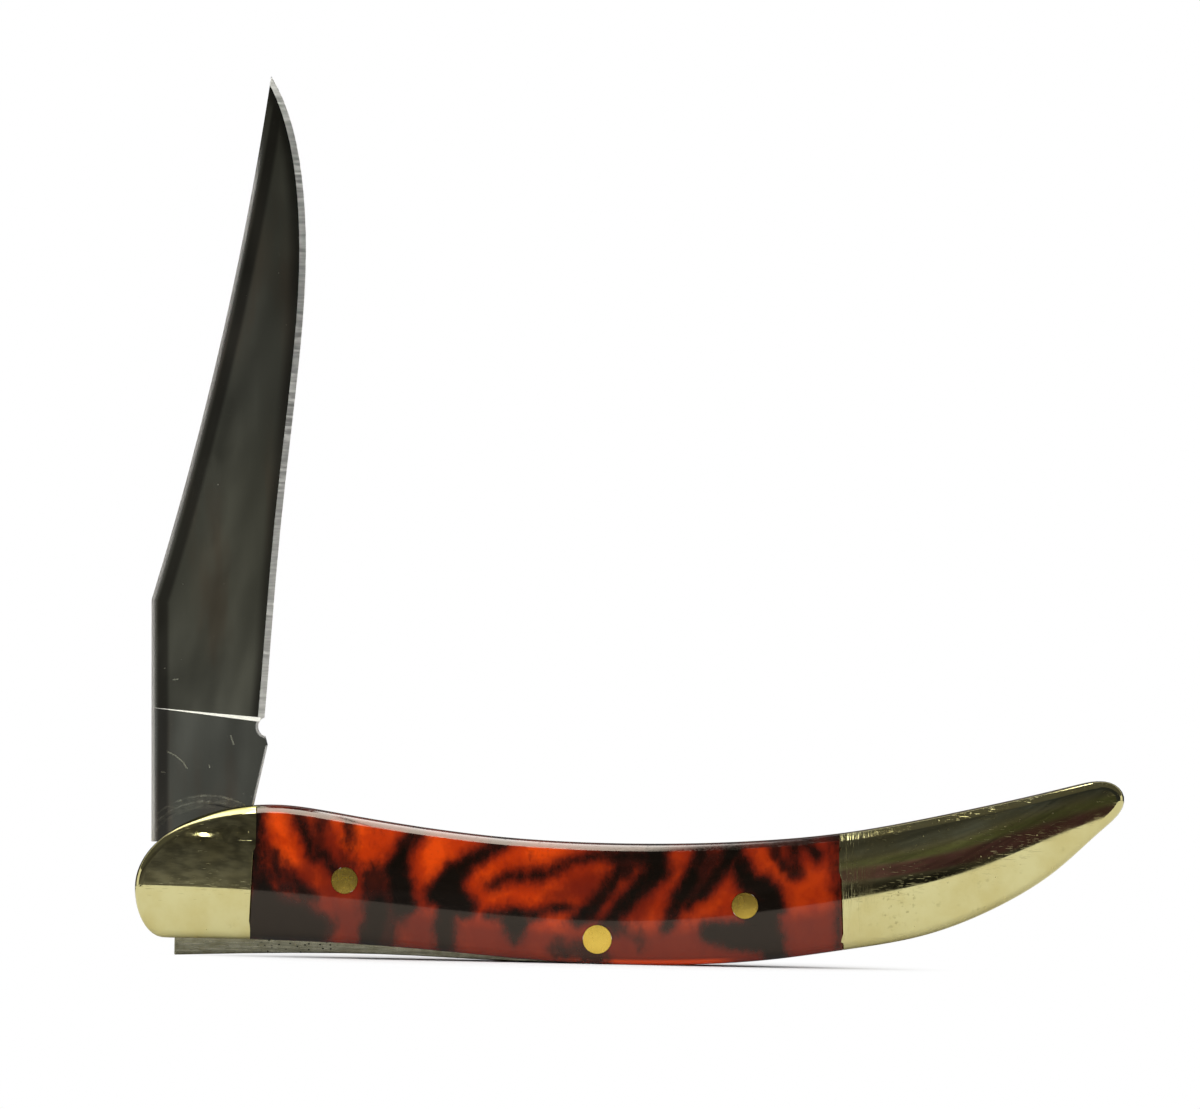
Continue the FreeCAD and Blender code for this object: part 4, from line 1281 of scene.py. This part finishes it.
    def build_flag(self, side: Side) -> Object:
        """Shape one dark cloth: a strip on the floor that rises to a wall with wings."""
        bpy.ops.object.select_all(action="DESELECT")
        bpy.ops.mesh.primitive_plane_add(size=1.0)
        flag = bpy.context.object
        flag.name = f"flag_{side.label}"
        near, back = self.flag_feet
        lift, reach = self.flag_lift, self.flag_reach
        places = ((-reach, near), (reach, back - lift), (-reach, back), (reach, back))
        for vertex, (along, out) in zip(flag.data.vertices, places):
            vertex.co = (along, side.value * out, lift)
        rise = self.flag_height if side is Side.LEFT else self.back_height
        with editing(flag):
            select_edges(flag, lambda corner: abs(abs(corner.y) - back) < lift / 2)
            bpy.ops.mesh.extrude_edges_move(TRANSFORM_OT_translate={"value": (0.0, 0.0, rise)})
            for end in (-1.0, 1.0):
                select_edges(flag, lambda corner: abs(corner.x - end * reach) < lift
                             and abs(abs(corner.y) - back) < lift / 2)
                wing = (end * self.flag_wing, 0.0, 0.0)
                bpy.ops.mesh.extrude_edges_move(TRANSFORM_OT_translate={"value": wing})
        return flag

    def build_lamps(self) -> None:
        """A large lamp overhead and a soft fill from the camera's side, both pointed at the knife."""
        for name, place, size, power in self.lamps:
            data = bpy.data.lights.new(name, "AREA")
            data.shape = "RECTANGLE"
            data.size, data.size_y = size
            data.energy = power
            lamp = bpy.data.objects.new(name, data)
            bpy.context.scene.collection.objects.link(lamp)
            lamp.location = place
            lamp.visible_glossy = False
            aim = Vector(self.lamp_target) - Vector(place)
            lamp.rotation_euler = aim.to_track_quat("-Z", "Y").to_euler()

    def build_camera(self) -> None:
        """A low camera that looks up a little, with the picture's roll."""
        data = bpy.data.cameras.new("camera")
        camera = bpy.data.objects.new("camera", data)
        bpy.context.scene.collection.objects.link(camera)
        data.sensor_fit = "HORIZONTAL"
        data.sensor_width = 36.0
        data.clip_start = 0.01
        data.clip_end = 10.0
        place = Vector((self.centre[0], self.plane - self.distance, self.camera_height))
        target = Vector((self.centre[0], self.plane, self.centre[1]))
        data.lens = data.sensor_width * (target - place).length / self.picture_width
        look = (target - place).to_track_quat("-Z", "Y").to_matrix().to_4x4()
        camera.matrix_world = Matrix.Translation(place) @ look @ Matrix.Rotation(self.roll, 4, "Z")
        bpy.context.scene.camera = camera


def main() -> None:
    """Dress every node, build the covers, the spring and the studio."""
    logging.basicConfig(level=logging.INFO, format="%(message)s")
    bpy.ops.object.select_all(action="DESELECT")
    effects = Effects()
    hinge = frame["record"]["behaviour"]["joints"][0]["pos_m"]
    finishes = {
        "blade_steel": PolishedSteel("blade_steel_polished", effects, (hinge[0] / MM, hinge[2] / MM)),
        "spring_steel": GroundMetal("spring_steel_ground", effects, (0.36, 0.35, 0.25),
                                    (0.24, 0.23, 0.15), 0.3, 0.35),
        "liner_brass": GroundMetal("liner_brass_ground", effects, (0.66, 0.5, 0.2),
                                   (0.45, 0.33, 0.12), 0.3),
        "bolster_metal": PaleGold("bolster_gold_pins", effects, 0.5),
        "scale_plastic": Tortoise("scale_tortoise_solid", effects),
        "pin_brass": GroundMetal("pin_brass_ground", effects, (0.8, 0.56, 0.1), (0.72, 0.49, 0.08), 0.26,
                                 grain=(2.0, 2.0, 1.4), spread=0.1, relief=0.0002 * MM),
    }
    built = {slot: finish.build() for slot, finish in finishes.items()}
    for row in frame["record"]["subparts"]:
        dress(frame["nodes"][row["node"]], built[row["material_slot"]])
        log.info("dressed %s", row["node"])
    HandleCovers(effects).build()
    BackSpring(built["spring_steel"]).build()
    Studio().build()
    bpy.context.scene.view_settings.view_transform = "Standard"


if __name__ == "__main__":
    main()
